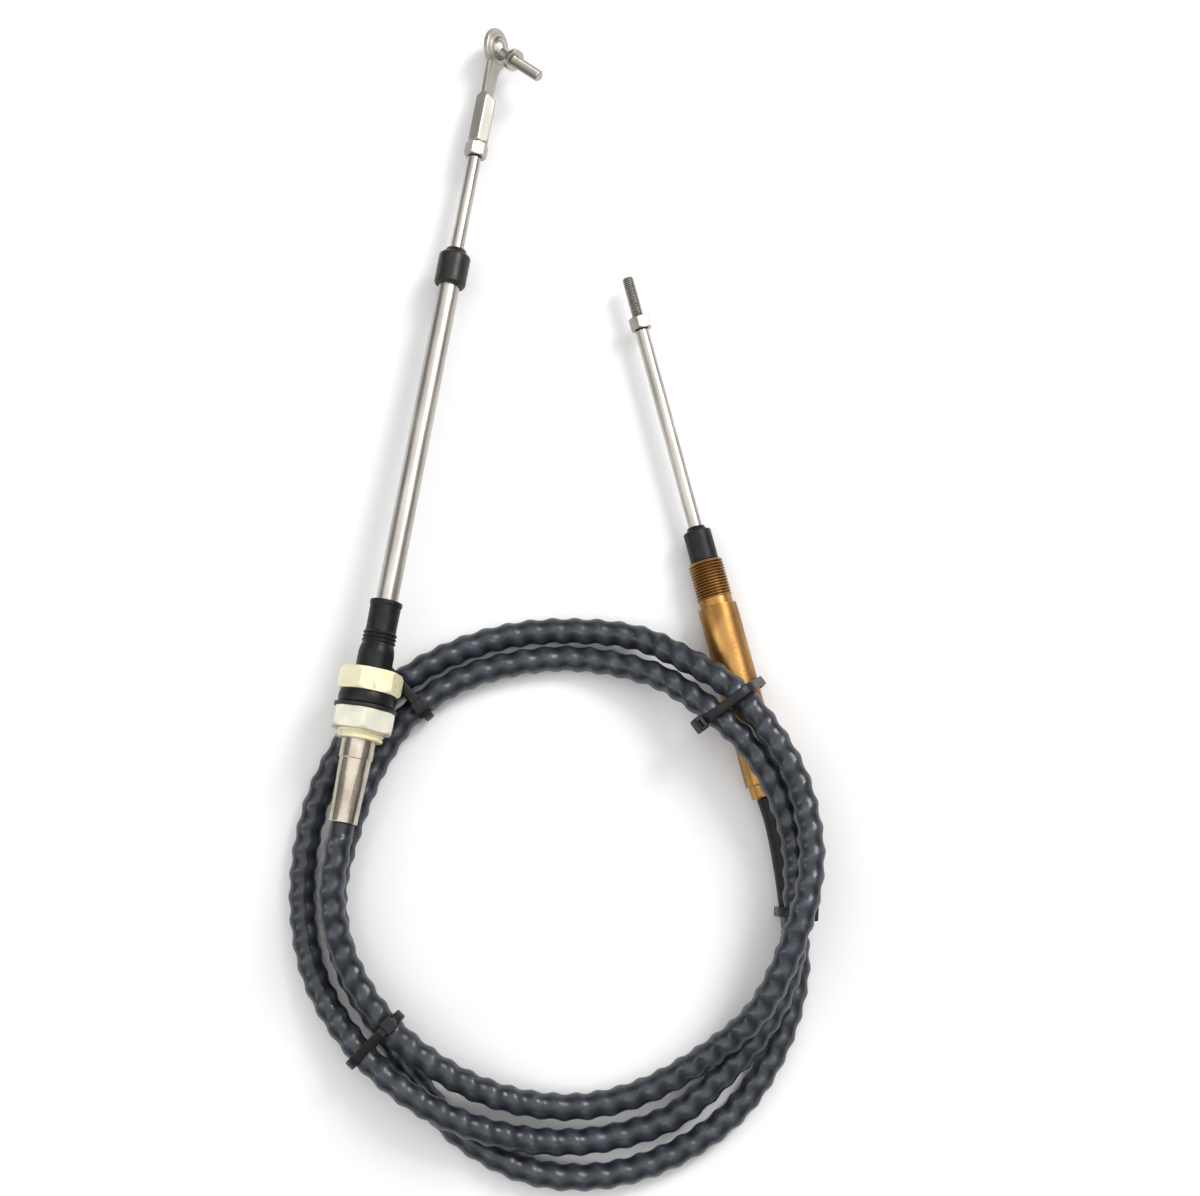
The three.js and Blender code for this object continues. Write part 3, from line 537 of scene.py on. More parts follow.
CREAM = (0.79, 0.71, 0.43, 1)
CREAM_PALE = (0.86, 0.82, 0.60, 1)
CREAM_STAIN = (0.17, 0.08, 0.025, 1)
cream = finish_named("cream_plastic", Subsurface_Weight=0.12, Subsurface_Scale=0.002)
cream_place = read(cream, "own")
cream_cloud = noise(cream, cream_place, 90.0)
cream_spots = ranged(cream, noise(cream, cream_place, 150.0, 7.0), 0, 0.8, 0.62, 0.72)
cream_tint = blended(cream, ranged(cream, cream_cloud, 0, 1), CREAM, CREAM_PALE)
wear(
    cream,
    Base_Color=blended(cream, cream_spots, cream_tint, CREAM_STAIN),
    Roughness=ranged(cream, noise(cream, cream_place, 300.0), 0.30, 0.46),
    Normal=bump(cream, noise(cream, cream_place, 1500.0), 0.00012, 0.5),
)
hull_fitting.data.materials.append(cream)
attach(hull_fitting, "cable")
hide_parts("hull_fitting")

# The hull nut: a hexagon nut of milky white plastic that runs up the barrel's thread and clamps the boat's
# side against the gasket. Here it is screwed close, with two threads of the barrel below it.
NUT_ENDS = (45.6, 55.8)
NUT_FLATS = 29
NUT_TURN = -40
NUT_CORNER = 17.0
NUT_BREAK = (1.9, 1.8)
THREAD_BORE = HULL_THREAD_RADIUS + CLEARANCE
NUT_WIDEST = 17.6
nut_corners = [
    (THREAD_BORE, NUT_ENDS[0]), (NUT_WIDEST, NUT_ENDS[0]), (NUT_WIDEST, NUT_ENDS[1]),
    (THREAD_BORE, NUT_ENDS[1]),
]


def hull_nut_shape(radius, station, angle):
    """A hexagon with its corners broken, outside the bore."""
    outer = hexagon(radius, angle, NUT_FLATS, NUT_TURN)
    outer = np.minimum(outer, chamfered(station, NUT_ENDS, NUT_CORNER, *NUT_BREAK))
    return np.where(radius > THREAD_BORE + 0.5, outer, radius), 1 + 0 * angle + 0 * station


hull_nut = ring_turned("hull_clamp_nut", hub, nut_corners, 0.35, 0.4, 96, hull_nut_shape)

MILKY = (0.80, 0.77, 0.62, 1)
MILKY_GREY = (0.66, 0.65, 0.55, 1)
milky = finish_named("milky_plastic", Subsurface_Weight=0.2, Subsurface_Scale=0.003)
milky_place = read(milky, "own")
wear(
    milky,
    Base_Color=blended(milky, ranged(milky, noise(milky, milky_place, 130.0), 0, 1), MILKY, MILKY_GREY),
    Roughness=ranged(milky, noise(milky, milky_place, 340.0), 0.28, 0.44),
    Normal=bump(milky, noise(milky, milky_place, 1300.0), 0.00012, 0.5),
)
hull_nut.data.materials.append(milky)
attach(hull_nut, "cable")
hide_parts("hull_nut")

# The washer and the gasket: a thin stamped washer of dark brown plastic under the nut, and a thick moulded
# rubber ring under the hexagon head. Both slide on the barrel, and the rubber squeezes out a little.
WASHER_ENDS = (56.1, 57.9)
WASHER_RADIUS = 15.6
GASKET_ENDS = (58.2, 64.4)
washer_corners = [
    (THREAD_BORE, WASHER_ENDS[0]), (WASHER_RADIUS, WASHER_ENDS[0]), (WASHER_RADIUS, WASHER_ENDS[1]),
    (THREAD_BORE, WASHER_ENDS[1]),
]
gasket_corners = [
    (THREAD_BORE, GASKET_ENDS[0]), (13.9, GASKET_ENDS[0]), (14.2, 59.4), (14.35, 61.3), (14.2, 63.2),
    (13.9, GASKET_ENDS[1]), (THREAD_BORE, GASKET_ENDS[1]),
]
washer = ring_turned("hull_washer_disc", hub, washer_corners, 0.4, 1.5, 72)
gasket = ring_turned("hull_gasket_ring", hub, gasket_corners, 0.7, 1.0, 72)

WASHER_BROWN = (0.022, 0.016, 0.012, 1)
WASHER_DARK = (0.010, 0.008, 0.007, 1)
washer_plastic = finish_named("brown_black_plastic", Specular_IOR_Level=0.35)
washer_place = read(washer_plastic, "own")
washer_cloud = ranged(washer_plastic, noise(washer_plastic, washer_place, 150.0), 0, 1)
wear(
    washer_plastic,
    Base_Color=blended(washer_plastic, washer_cloud, WASHER_DARK, WASHER_BROWN),
    Roughness=ranged(washer_plastic, noise(washer_plastic, washer_place, 400.0), 0.34, 0.5),
    Normal=bump(washer_plastic, noise(washer_plastic, washer_place, 1400.0), 0.0001, 0.5),
)
washer.data.materials.append(washer_plastic)
gasket.data.materials.append(rubber)
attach(washer, "cable")
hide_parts("hull_washer")
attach(gasket, "cable")
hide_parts("hull_gasket")

# The swivel boot: a moulded tube of soft black rubber, stretched over the ferrule's spigot and the guide
# tube, so that the tube can swing in its seat and stay dry. Three thin rings stiffen its middle.
BOOT_ENDS = (76.3, 111.3)
BOOT_RINGS = (90.55, 92.55, 94.55)
WAIST_RADIUS = 7.65
RING_RADIUS = 8.4
RING_HALF = 0.35
boot_rings = []
for ring in BOOT_RINGS:
    boot_rings += [(WAIST_RADIUS, ring - 0.75), (RING_RADIUS, ring - RING_HALF)]
    boot_rings += [(RING_RADIUS, ring + RING_HALF), (WAIST_RADIUS, ring + 0.75)]
boot_corners = [
    (6.8, BOOT_ENDS[0]), (8.9, BOOT_ENDS[0]), (8.95, 84.6), (8.5, 87.4), (7.75, 89.7), *boot_rings[1:-1],
    (WAIST_RADIUS, 95.4), (7.6, 99), (7.7, 108.7), (8.1, 109.2), (8.1, BOOT_ENDS[1]), (5.8, BOOT_ENDS[1]),
    (5.8, 93.1), (6.8, 90.3),
]
boot = ring_turned("rubber_swivel_boot", hub, boot_corners, 0.5, 0.7)
boot.data.materials.append(rubber)


def on_hub(station):
    """The point on the hub's axis at that station, in metres."""
    return hub[0] + station * hub[2]


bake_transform(boot)
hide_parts("swivel_boot")

# The guide tube: a drawn stainless tube with a ball formed on its lower end, which swings in the ferrule's
# dished seat. It is bored for the output rod, and the draw marks run along it.
TUBE_RADIUS = 5.5
TUBE_END = 295.12
ROD_BORE = 3.85
BORE_DEPTH = 130.0
tube_corners = [
    (0, 88.0), (2.6, 88.6), (4.5, 90.5), (5.2, 93.1), (5.2, 94.4), (TUBE_RADIUS, 96.2),
    (TUBE_RADIUS, TUBE_END), (ROD_BORE, TUBE_END), (ROD_BORE, TUBE_END - BORE_DEPTH),
    (0, TUBE_END - BORE_DEPTH),
]
guide_tube = turned("guide_tube_drawn", hub, spaced(softened(tube_corners, 0.3), 6.0), 64)

STEEL_BRIGHT = (0.56, 0.53, 0.48, 1)
STEEL_GREY = (0.36, 0.335, 0.30, 1)
STEEL_VALLEY_SHADE = (0.045, 0.042, 0.038, 1)


def steel_finish(name, smoothest, roughest):
    """Stainless steel with draw marks along it, grey clouds, and painted shade that darkens the thread
    valleys.
    """
    made = finish_named(name, Metallic=1.0)
    draw = noise(made, read(made, "own", (1, 0.02, 1)), 1100.0)
    cloud = noise(made, read(made, "own", (1, 0.3, 1)), 150.0)
    # Painted shade: the colour darkens where the thread's relief falls, standing in for the shade in its
    # valleys.
    valley = ranged(made, read(made, "relief"), 0.95, 0, 0.0, 0.8)
    tint = blended(made, ranged(made, cloud, 0, 0.7), STEEL_BRIGHT, STEEL_GREY)
    return wear(
        made,
        Base_Color=blended(made, valley, tint, STEEL_VALLEY_SHADE),
        Roughness=ranged(made, draw, smoothest, roughest),
        Normal=bump(made, draw, 0.00012, 0.4),
    )


steel = steel_finish("stainless_steel", 0.28, 0.42)
guide_tube.data.materials.append(steel)
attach(guide_tube, "guide")
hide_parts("guide_tube")

# The tube cap: a turned black plastic collar pressed on the guide tube's end. It holds the wiper seal, whose
# grey lip stands out of it as a low cone round the rod.
CAP_RADIUS = 8.2
CAP_ENDS = (280.72, 298.12)
CAP_TOP = 300.92
TUBE_BORE = TUBE_RADIUS + CLEARANCE
cap_corners = [
    (TUBE_BORE, CAP_ENDS[0]), (7.4, CAP_ENDS[0]), (CAP_RADIUS, 281.9), (CAP_RADIUS, 296.9),
    (7.3, CAP_ENDS[1]), (6.3, CAP_ENDS[1]), (5.95, 298.5), (5.1, 300.9), (ROD_BORE, CAP_TOP),
    (ROD_BORE, 295.5), (TUBE_BORE, 295.5),
]
tube_cap = ring_turned("tube_end_cap", hub, cap_corners, 0.25, 1.5)

CAP_WARM = (0.011, 0.010, 0.009, 1)
CAP_GREY = (0.030, 0.028, 0.026, 1)
cap_plastic = finish_named("warm_black_plastic", Specular_IOR_Level=0.32)
cap_place = read(cap_plastic, "own")
cap_lathe = noise(cap_plastic, read(cap_plastic, "own", (0.05, 1, 0.05)), 1500.0)
cap_cloud = ranged(cap_plastic, noise(cap_plastic, cap_place, 140.0), 0, 1)
wear(
    cap_plastic,
    Base_Color=blended(cap_plastic, cap_cloud, CAP_WARM, CAP_GREY),
    Roughness=ranged(cap_plastic, cap_lathe, 0.30, 0.44),
    Normal=bump(cap_plastic, cap_lathe, 0.00015, 0.5),
)
tube_cap.data.materials.append(cap_plastic)
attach(tube_cap, "guide")
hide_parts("tube_cap")

# The output rod: ground stainless bar that the inner cable pushes out of the guide tube. Its end is turned
# down and threaded for the lock nut and the ball joint.
OUTPUT_THREAD = (354.2, 379.5)
THREAD_SHARP = 60
FINE_GAP = 0.125
STUD_PITCH = 1.0
STUD_DEPTH = 0.5
ROD_RADIUS = 3.5
STUD_RADIUS = 3.0
ROD_ENDS = (217.2, 353.2)
STUD_END = 380.4
output_corners = [
    (0, ROD_ENDS[0]), (ROD_RADIUS, ROD_ENDS[0]), (ROD_RADIUS, ROD_ENDS[1]), (STUD_RADIUS, 353.9),
    (STUD_RADIUS, STUD_END), (0, STUD_END),
]


def fine_profile(corners, ends):
    """A rod's profile with rounded corners, and enough points for a fine thread between two stations."""
    return spaced(softened(corners, 0.3), 6.0, zone=ends, fine_gap=FINE_GAP)


def fine_threaded(name, fitting, profile, ends):
    """A turned rod or stud with a fine thread between two stations."""
    def shape(radius, station, angle):
        return thread(radius, station, angle, ends, STUD_PITCH, STUD_DEPTH)

    return turned(name, fitting, profile, 48, shape, sharp=THREAD_SHARP)


output_profile = fine_profile(output_corners, OUTPUT_THREAD)
output_rod = fine_threaded("output_rod_ground", hub, output_profile, OUTPUT_THREAD)
output_rod.data.materials.append(steel)
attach(output_rod, "output")
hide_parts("output_rod")

# The lock nuts: small stainless hexagon nuts, chamfered on both faces. One jams the ball joint on the
# output rod, and the other waits on the input rod's thread.
OUTPUT_NUT = (353.92, 361.12)
INPUT_NUT = (248.7, 255.2)
STUD_BORE = 3.3
SUNK_BORE = 3.75
LOCK_BREAK = (0.6, 1.0)
input_end = fitting_frame(INPUT_PLACE, INPUT_HEADING, 0.0)


def lock_nut(name, fitting, ends, flats, turn):
    """A hexagon nut turned about a fitting, with a bore that is countersunk at both faces."""
    corner = flats / np.sqrt(3) + 0.15
    corners = [
        (SUNK_BORE, ends[0]), (corner, ends[0]), (corner, ends[1]), (SUNK_BORE, ends[1]),
        (STUD_BORE, ends[1] - 0.6), (STUD_BORE, ends[0] + 0.6),
    ]

    def shape(radius, station, angle):
        """A hexagon with its corners broken, outside the bore."""
        outer = hexagon(radius, angle, flats, turn)
        outer = np.minimum(outer, chamfered(station, ends, corner, *LOCK_BREAK))
        return np.where(radius > SUNK_BORE + 0.25, outer, radius), 1 + 0 * angle + 0 * station

    return ring_turned(name, fitting, corners, 0.15, 0.3, 72, shape)


forged_steel = steel_finish("forged_stainless_steel", 0.42, 0.56)
output_nut = lock_nut("output_jam_nut", hub, OUTPUT_NUT, 10.5, -15)
input_nut = lock_nut("input_jam_nut", input_end, INPUT_NUT, 10, -20)
for nut, body, node in ((output_nut, "output", "output_lock_nut"), (input_nut, "input", "input_lock_nut")):
    nut.data.materials.append(forged_steel)
    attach(nut, body)
    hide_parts(node)

# The ball joint's socket: forged stainless. A hexagon bar, bored and threaded for the rod, flattens into a
# strap and widens into a round eye, whose seat is swaged over the ball and shows as a raised rim.
EYE_TILT = 28.0
SOCKET_ENDS = (361.42, 388.12)
SOCKET_FLATS = 10
SOCKET_CORNER = 5.75
SOCKET_BREAK = (0.9, 1.1)
BEYOND_EYE = 450.0
BAR_RADIUS = 5.9
BAR_END = 414.0
EYE_STATION = 417.12
STRAP_START = 390.0
STRAP_LENGTH = 27.0
FLATTENING = 5.0
BAR_HALF = (6.2, 4.9)
STRAP_HALF = (1.5, 4.3)
tilt = np.radians(EYE_TILT)
joint_frame = (
    on_hub(EYE_STATION),
    hub[1] * np.cos(tilt) + hub[3] * np.sin(tilt),
    hub[2],
    hub[3] * np.cos(tilt) - hub[1] * np.sin(tilt),
)
bar_frame = (hub[0], *joint_frame[1:])


def forged_bar(radius, station, angle):
    """A hexagon that passes smoothly into a flat strap: the lesser of the two outlines, where the strap's
    half thickness falls from the hexagon's over five millimetres, and its half width grows by a millimetre
    towards the eye. The strap's own outline is the superellipse of the sixth power."""
    flatten = np.clip((station - SOCKET_ENDS[1] + FLATTENING / 2) / FLATTENING, 0, 1)
    flatten = flatten * flatten * (3 - 2 * flatten)
    half_thick = BAR_HALF[0] + (STRAP_HALF[0] - BAR_HALF[0]) * flatten
    half_wide = BAR_HALF[1] + (STRAP_HALF[1] - BAR_HALF[1]) * flatten
    half_wide = half_wide + np.clip((station - STRAP_START) / STRAP_LENGTH, 0, 1)
    flat_share, wide_share = np.abs(np.cos(angle)) / half_thick, np.abs(np.sin(angle)) / half_wide
    strap = 1 / (flat_share**6 + wide_share**6) ** (1 / 6)
    six = hexagon(radius, angle, SOCKET_FLATS, 0)
    broken = chamfered(station, (SOCKET_ENDS[0], BEYOND_EYE), SOCKET_CORNER, *SOCKET_BREAK)
    six = np.minimum(six, broken)
    return np.minimum(six, strap), 1 + 0 * angle + 0 * station


bar_corners = [
    (0, SOCKET_ENDS[0]), (BAR_RADIUS, SOCKET_ENDS[0]), (BAR_RADIUS, BAR_END), (0, BAR_END),
]
socket_bar = turned("ball_joint_bar", bar_frame, spaced(softened(bar_corners, 0.2), 0.5), 72, forged_bar)

eye_frame = (joint_frame[0], joint_frame[2], joint_frame[1], joint_frame[3])
eye_corners = [
    (6.05, -2.0), (6.6, -2.4), (8.0, -2.4), (8.3, -1.6), (10.2, -1.5), (10.7, -1.0), (10.7, 1.0),
    (10.2, 1.5), (8.3, 1.6), (8.0, 2.4), (6.6, 2.4), (5.95, 2.0), (6.25, 0),
]
socket_eye = ring_turned("ball_joint_eye", eye_frame, eye_corners, 0.35, 0.6, 72)
for part in (socket_bar, socket_eye):
    part.data.materials.append(forged_steel)
    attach(part, "output")
    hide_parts("ball_joint_socket")

# The ball stud: turned stainless, with a polished ball held in the eye, a neck, a round collar that rests on
# the tiller arm, and a threaded stud for the arm's nut.
BALL_SWING = 32.5
BALL_RADIUS = 6.0
BALL_STUD_THREAD = (17.0, 36.2)
swing = np.radians(90 + BALL_SWING)
stud_along = joint_frame[1] * np.sin(swing) + joint_frame[2] * np.cos(swing)
stud_across = joint_frame[1] * np.cos(swing) - joint_frame[2] * np.sin(swing)
stud_frame = (joint_frame[0], stud_across, stud_along, joint_frame[3])
BALL_FLAT = -4.0
ball_angle = np.linspace(np.arccos(BALL_FLAT / BALL_RADIUS), np.arcsin(STUD_RADIUS / BALL_RADIUS), 24)
ball_profile = np.stack([BALL_RADIUS * np.sin(ball_angle), BALL_RADIUS * np.cos(ball_angle)], axis=1)
COLLAR_RADIUS = 5.8
COLLAR_ENDS = (13.3, 16.3)
STUD_TIP = 36.5
shank_corners = [
    (STUD_RADIUS, 6.0), (STUD_RADIUS, COLLAR_ENDS[0]), (COLLAR_RADIUS, COLLAR_ENDS[0]),
    (COLLAR_RADIUS, COLLAR_ENDS[1]), (STUD_RADIUS, COLLAR_ENDS[1]), (STUD_RADIUS, 35.6), (2.1, STUD_TIP),
    (0, STUD_TIP),
]
shank_profile = fine_profile(shank_corners, BALL_STUD_THREAD)
stud_profile = np.concatenate([[[0, BALL_FLAT]], ball_profile, shank_profile])
ball_stud = fine_threaded("ball_stud_turned", stud_frame, stud_profile, BALL_STUD_THREAD)
ball_stud.data.materials.append(steel)
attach(ball_stud, "ball")
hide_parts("ball_stud")

# The input body: a round bar of bronze, turned with a neck for the sleeve, a groove for the clamp and a
# coarse mounting thread, and bored for the input rod. It has dulled and browned between handling marks.
BODY_RADIUS = 10.0
BODY_END = 122.3
BODY_THREAD = (103.2, 122.0)
BODY_PITCH = 1.5
BODY_DEPTH = 0.85
BODY_FINE_GAP = 0.15
body_corners = [
    (0, 0), (8.5, 0), (8.5, 6.5), (BODY_RADIUS, 6.5), (BODY_RADIUS, 98.5), (8.4, 98.5), (8.4, 102.9),
    (9.0, 102.9), (9.0, 121.3), (8.0, BODY_END), (ROD_BORE, BODY_END), (ROD_BORE, 13.0), (0, 13.0),
]


def body_thread(radius, station, angle):
    """A one and a half millimetre thread on the outside of the end."""
    cut, ridge = thread(radius, station, angle, BODY_THREAD, BODY_PITCH, BODY_DEPTH)
    outside = radius > 7
    return np.where(outside, cut, radius), np.where(outside, ridge, 1)


body_profile = spaced(softened(body_corners, 0.3), 6.0, zone=BODY_THREAD, fine_gap=BODY_FINE_GAP)
input_body = turned("input_body_bronze", input_end, body_profile, 80, body_thread, sharp=THREAD_SHARP)

BRONZE_BRIGHT = (0.47, 0.26, 0.085, 1)
BRONZE_BROWN = (0.27, 0.13, 0.038, 1)
BRONZE_VALLEY_SHADE = (0.06, 0.035, 0.015, 1)
bronze = finish_named("browned_bronze", Metallic=1.0)
bronze_lathe = noise(bronze, read(bronze, "own", (0.06, 1, 0.06)), 1300.0)
bronze_cloud = noise(bronze, read(bronze, "own", (1, 0.4, 1)), 95.0, 6.0)
# Painted shade: the colour darkens where the thread's relief falls, standing in for the shade in its valleys.
bronze_valley_shade = ranged(bronze, read(bronze, "relief"), 0.9, 0, 0.0, 0.75)
bronze_tint = blended(bronze, ranged(bronze, bronze_cloud, 0, 1, 0.38, 0.62), BRONZE_BRIGHT, BRONZE_BROWN)
wear(
    bronze,
    Base_Color=blended(bronze, bronze_valley_shade, bronze_tint, BRONZE_VALLEY_SHADE),
    Roughness=ranged(bronze, bronze_cloud, 0.32, 0.50),
    Normal=bump(bronze, bronze_lathe, 0.00016, 0.5),
)
input_body.data.materials.append(bronze)
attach(input_body, "cable")
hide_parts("input_body")

# The seal cap: a moulded black rubber cap that stands on the body's open end, with a stepped top and a lip
# that wipes the input rod.
SEAL_START = BODY_END + CLEARANCE
SEAL_RADIUS = 7.15
SEAL_TOP = 140.9
seal_corners = [
    (ROD_BORE, SEAL_START), (SEAL_RADIUS, SEAL_START), (SEAL_RADIUS, 137.9), (6.5, 138.6), (5.3, 138.6),
    (5.0, 139.2), (4.3, SEAL_TOP), (ROD_BORE, SEAL_TOP),
]
seal_cap = ring_turned("rod_seal_cap", input_end, seal_corners, 0.3, 1.5, 56)
seal_cap.data.materials.append(rubber)
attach(seal_cap, "cable")
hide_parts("seal_cap")

# The input rod: ground stainless bar that the steering helm pushes and pulls. It is threaded beyond its
# lock nut for the helm's rack.
INPUT_THREAD = (249.0, 277.4)
INPUT_ROD = (64.3, 248.0)
INPUT_TIP = 277.7
input_corners = [
    (0, INPUT_ROD[0]), (ROD_RADIUS, INPUT_ROD[0]), (ROD_RADIUS, INPUT_ROD[1]), (STUD_RADIUS, 248.7),
    (STUD_RADIUS, 276.8), (2.1, INPUT_TIP), (0, INPUT_TIP),
]
input_profile = fine_profile(input_corners, INPUT_THREAD)
input_rod = fine_threaded("input_rod_ground", input_end, input_profile, INPUT_THREAD)
input_rod.data.materials.append(steel)
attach(input_rod, "input")
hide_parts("input_rod")

# The cable ties: straps of black nylon, each drawn close round its strands through its own ratchet head,
# with the tail cut short. Each strap lies in the upright plane across the way that the route runs there.
TIE_WIDTH = 4.8
TIE_THICK = 1.2
TIE_SLACK = 0.7
TIE_EASE = 0.75
HEAD_SIZE = (6.5, 5.0, 7.5)
HEAD_LIFT = 0.1
TAIL_SIZE = (3.6, 1.1, 4.4)
TAIL_SHOWN = 0.6
TIE_STEPS = 144
TIE_SIDES = 16
STRAND_RADIUS = 6.5
SLEEVE_HELD = 6.3


def held_outline(rounds, growth, angle):
    """The hull of round strands, grown: in each direction, the strand that reaches furthest, plus its radius
    and the growth in that direction."""
    way = np.stack([np.cos(angle), np.sin(angle)], axis=-1)
    reach = way @ rounds[:, :2].T + rounds[:, 2]
    furthest = rounds[np.argmax(reach, axis=-1)]
    return furthest[..., :2] + way * (furthest[..., 2] + growth)[..., None]


def block(size, corner, bend=4.0):
    """A block with round edges as a function of longitude and latitude: each coordinate is the sine or cosine
    raised to the power 1 / bend, times half the size."""
    longitude = np.linspace(0, 2 * np.pi, 40, endpoint=False)[None, :]
    latitude = np.linspace(-np.pi / 2, np.pi / 2, 22)[1:-1][:, None]

    def raised(value):
        return np.sign(value) * np.abs(value) ** (1 / bend)

    x = raised(np.cos(latitude)) * raised(np.cos(longitude))
    y = raised(np.cos(latitude)) * raised(np.sin(longitude))
    z = raised(np.sin(latitude)) + 0 * longitude
    return np.stack([x, y, z], axis=-1) * np.array(size) / 2 + np.array(corner)


def merged(name, parts):
    """One object of several closed skins."""
    for other in bpy.context.selected_objects:
        other.select_set(False)
    for part in parts:
        part.select_set(True)
    bpy.context.view_layer.objects.active = parts[0]
    bpy.ops.object.join()
    parts[0].name = name
    parts[0].select_set(False)
    return parts[0]


def route_run(place):
    """The way that the route runs at a place."""
    ahead = (on_route(place + 0.01) - on_route(place - 0.01))[0]
    return ahead / np.linalg.norm(ahead)


def cable_tie(name, held, run, head_angle):
    """A strap, a head and a tail in the upright plane across the run. The strap is the held outline, with a
    rounded rectangle carried round it; the head is a rounded block on it, and the tail a short flat block."""
    held = np.array(held)
    centre = held[:, :3].mean(axis=0)
    run = run * [1, 1, 0]
    run = run / np.linalg.norm(run)
    upright = np.array([0.0, 0.0, 1.0])
    across = np.cross(upright, run)
    offset = held[:, :3] - centre
    rounds = np.stack([offset @ across, offset @ upright, held[:, 3] + TIE_EASE], axis=1)
    angle = np.linspace(0, 2 * np.pi, TIE_STEPS, endpoint=False)
    side = np.linspace(0, 2 * np.pi, TIE_SIDES, endpoint=False)
    wide = np.sign(np.cos(side)) * np.abs(np.cos(side)) ** 0.3 * TIE_WIDTH / 2
    thick = (np.sign(np.sin(side)) * np.abs(np.sin(side)) ** 0.6 + 1) * TIE_THICK / 2
    inner = held_outline(rounds, TIE_SLACK, angle)[:, None, :]
    outer = held_outline(rounds, TIE_SLACK + TIE_THICK, angle)[:, None, :]
    flat = inner + (outer - inner) * (thick / TIE_THICK)[None, :, None]
    wide = np.broadcast_to(wide[None, :, None], (TIE_STEPS, TIE_SIDES, 1))
    strap = np.concatenate([flat, wide], axis=-1)
    way = np.radians(head_angle)
    nearest = rounds[np.argmax(np.array([np.cos(way), np.sin(way)]) @ rounds[:, :2].T + rounds[:, 2])]
    out, beside = np.array([np.cos(way), np.sin(way), 0]), np.array([-np.sin(way), np.cos(way), 0])
    turn = np.stack([beside, out, [0, 0, 1]])
    seat = np.array([*nearest[:2], 0]) + out * (nearest[2] + TIE_SLACK + HEAD_SIZE[1] / 2 + HEAD_LIFT)
    head = block(HEAD_SIZE, (0, 0, 0)) @ turn + seat
    tail = block(TAIL_SIZE, (HEAD_SIZE[0] / 2 + TAIL_SHOWN, 0.6, 0), 6.0) @ turn + seat
    axes = np.stack([across, upright, run])
    parts = []
    for label, grid, ring_shaped in (("strap", strap, True), ("head", head, False), ("tail", tail, False)):
        parts.append(skin(f"{name}_{label}", placed(centre + grid @ axes), grid * MM, None, ring_shaped))
    return merged(name, parts)


def strand(place, radius=STRAND_RADIUS):
    """A strand where the route passes a place: its centre and radius."""
    return [*on_route(place)[0], radius]


BODY_HELD_AT = 51.5
BODY_SPREAD = 4.5
BODY_LEAN = 0.7
body_stations = (BODY_HELD_AT - BODY_SPREAD, BODY_HELD_AT + BODY_SPREAD)
body_rounds = [
    [*(INPUT_PLACE + station * input_along), BODY_RADIUS - TIE_EASE / 2] for station in body_stations
]
TIES = {
    "cable_tie_lower_left": ([strand(5.2), strand(31.2), strand(54.05)], route_run(31.2), 80),
    "cable_tie_upper_left": ([strand(24.98), strand(48.83)], route_run(48.83), 82),
    "cable_tie_upper_right": (
        [strand(18.82), strand(43.95), *body_rounds], route_run(43.95) + BODY_LEAN * input_along, 25,
    ),
    "cable_tie_right": ([strand(39.92), strand(62.78, SLEEVE_HELD)], route_run(39.92), 185),
}

NYLON_BLACK = (0.005, 0.005, 0.0055, 1)
NYLON_GREY = (0.010, 0.010, 0.012, 1)
nylon = finish_named("black_nylon", Specular_IOR_Level=0.3)
nylon_place = read(nylon, "own")
wear(
    nylon,
    Base_Color=blended(nylon, ranged(nylon, noise(nylon, nylon_place, 180.0), 0, 1), NYLON_BLACK, NYLON_GREY),
    Roughness=ranged(nylon, noise(nylon, nylon_place, 500.0), 0.3, 0.48),
    Normal=bump(nylon, noise(nylon, nylon_place, 1800.0), 0.0001, 0.5),
)
for node, (held, run, head_angle) in TIES.items():
    tie = cable_tie(node + "_strap", held, run, head_angle)
    tie.data.materials.append(nylon)
    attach(tie, "cable")
    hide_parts(node)

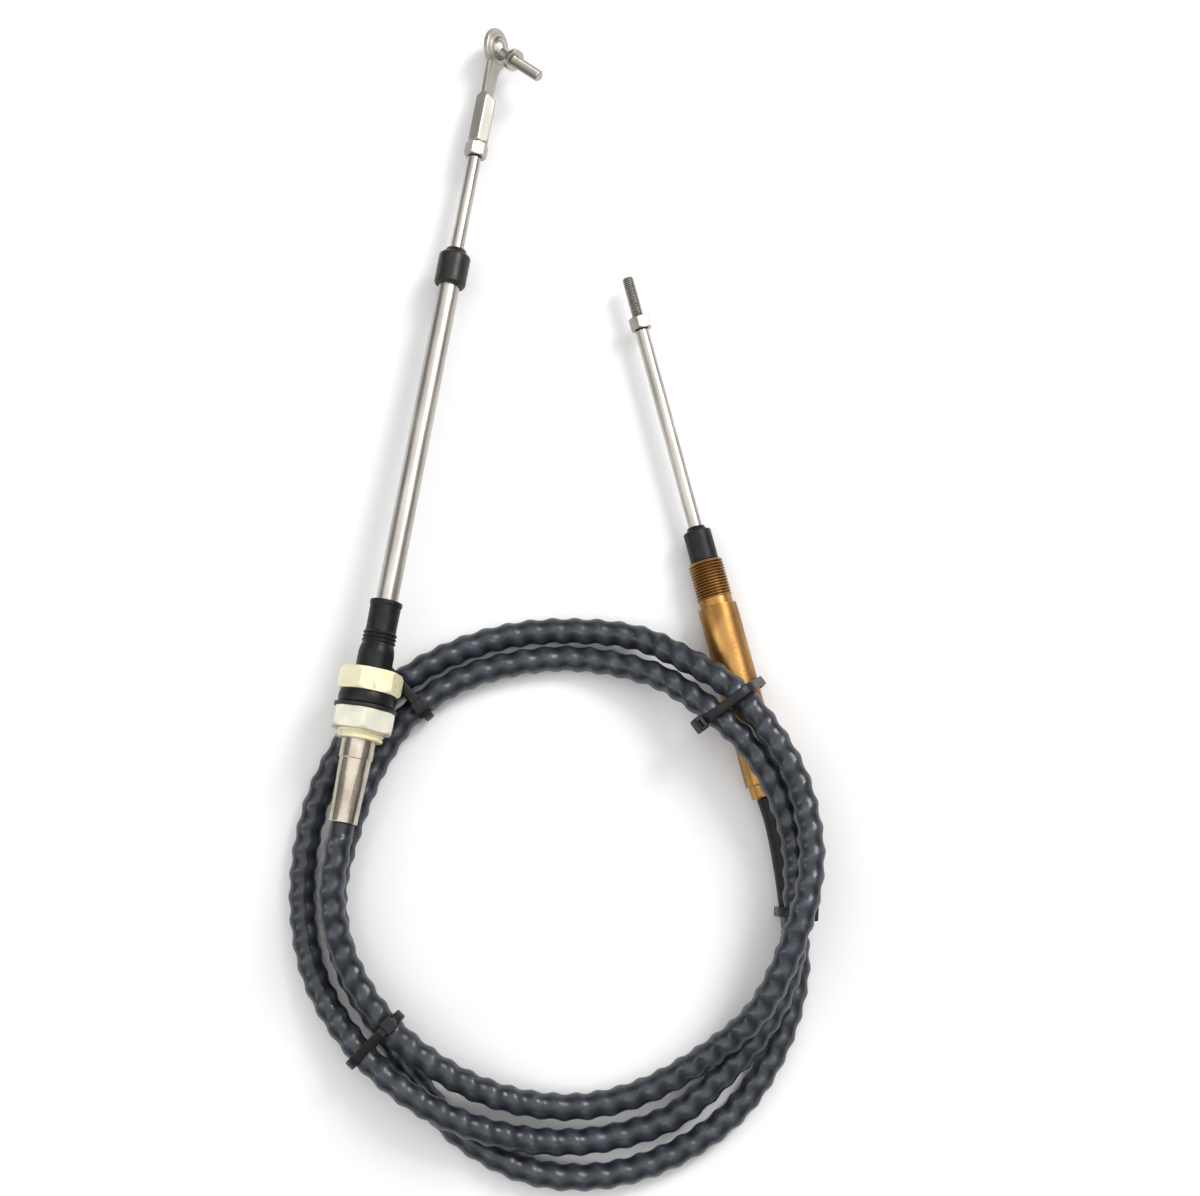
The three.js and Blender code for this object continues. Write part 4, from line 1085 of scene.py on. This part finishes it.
# The studio: a plain pale floor under soft light. A broad light hangs overhead, a small one to the upper
# right draws the highlights along the tubes, and the walls are darker near the floor, as metal shows.
FLOOR_HALF = 4
PAPER_GREY = (0.86, 0.86, 0.86, 1)
PAPER_WHITE = (0.89, 0.89, 0.89, 1)
floor_points = [(x * FLOOR_HALF, y * FLOOR_HALF, 0) for x, y in ((-1, -1), (1, -1), (1, 1), (-1, 1))]
floor_mesh = bpy.data.meshes.new("floor")
floor_mesh.from_pydata(floor_points, [], [(0, 1, 2, 3)])
floor = bpy.data.objects.new("floor", floor_mesh)
bpy.context.scene.collection.objects.link(floor)
paper = finish_named("white_paper", Specular_IOR_Level=0.2)
paper_place = step(paper, "TexCoord", "Object")
wear(
    paper,
    Base_Color=blended(paper, noise(paper, paper_place, 3.0), PAPER_GREY, PAPER_WHITE),
    Roughness=ranged(paper, noise(paper, paper_place, 40.0), 0.75, 0.9),
)
floor_mesh.materials.append(paper)


def softbox(name, place, width, depth, power):
    """A flat rectangular light at a place in metres, turned to face the origin, of a power in watts."""
    light = bpy.data.lights.new(name, "AREA")
    light.shape = "RECTANGLE"
    light.size, light.size_y, light.energy = width, depth, power
    lamp = bpy.data.objects.new(name, light)
    bpy.context.scene.collection.objects.link(lamp)
    x, y, z = place
    lamp.location = place
    lamp.rotation_euler = (np.arctan2(np.hypot(x, y), z), 0, np.arctan2(x, -y))


softbox("overhead", (0.0, 0.15, 1.9), 3.2, 2.6, 27)
softbox("upper_right", (1.0, 0.9, 1.3), 0.5, 0.8, 20)
softbox("left_fill", (-1.5, -0.3, 1.0), 0.4, 1.2, 5)
WORLD_STRENGTH = 0.5
WALL_LOW = (0.22, 0.22, 0.225, 1)
WALL_HIGH = (1.0, 1.0, 1.0, 1)
world = bpy.data.worlds.new("studio")
world.use_nodes = True
bpy.context.scene.world = world
bpy.context.scene.view_settings.view_transform = "Standard"
world.node_tree.nodes["Background"].inputs["Strength"].default_value = WORLD_STRENGTH
sky = step(world, "TexCoord", "Generated")
height = step(world, "SeparateXYZ", "Z", Vector=sky)
walls = blended(world, ranged(world, height, 0, 1, 0.1, 0.8), WALL_LOW, WALL_HIGH)
world.node_tree.links.new(walls, world.node_tree.nodes["Background"].inputs["Color"])
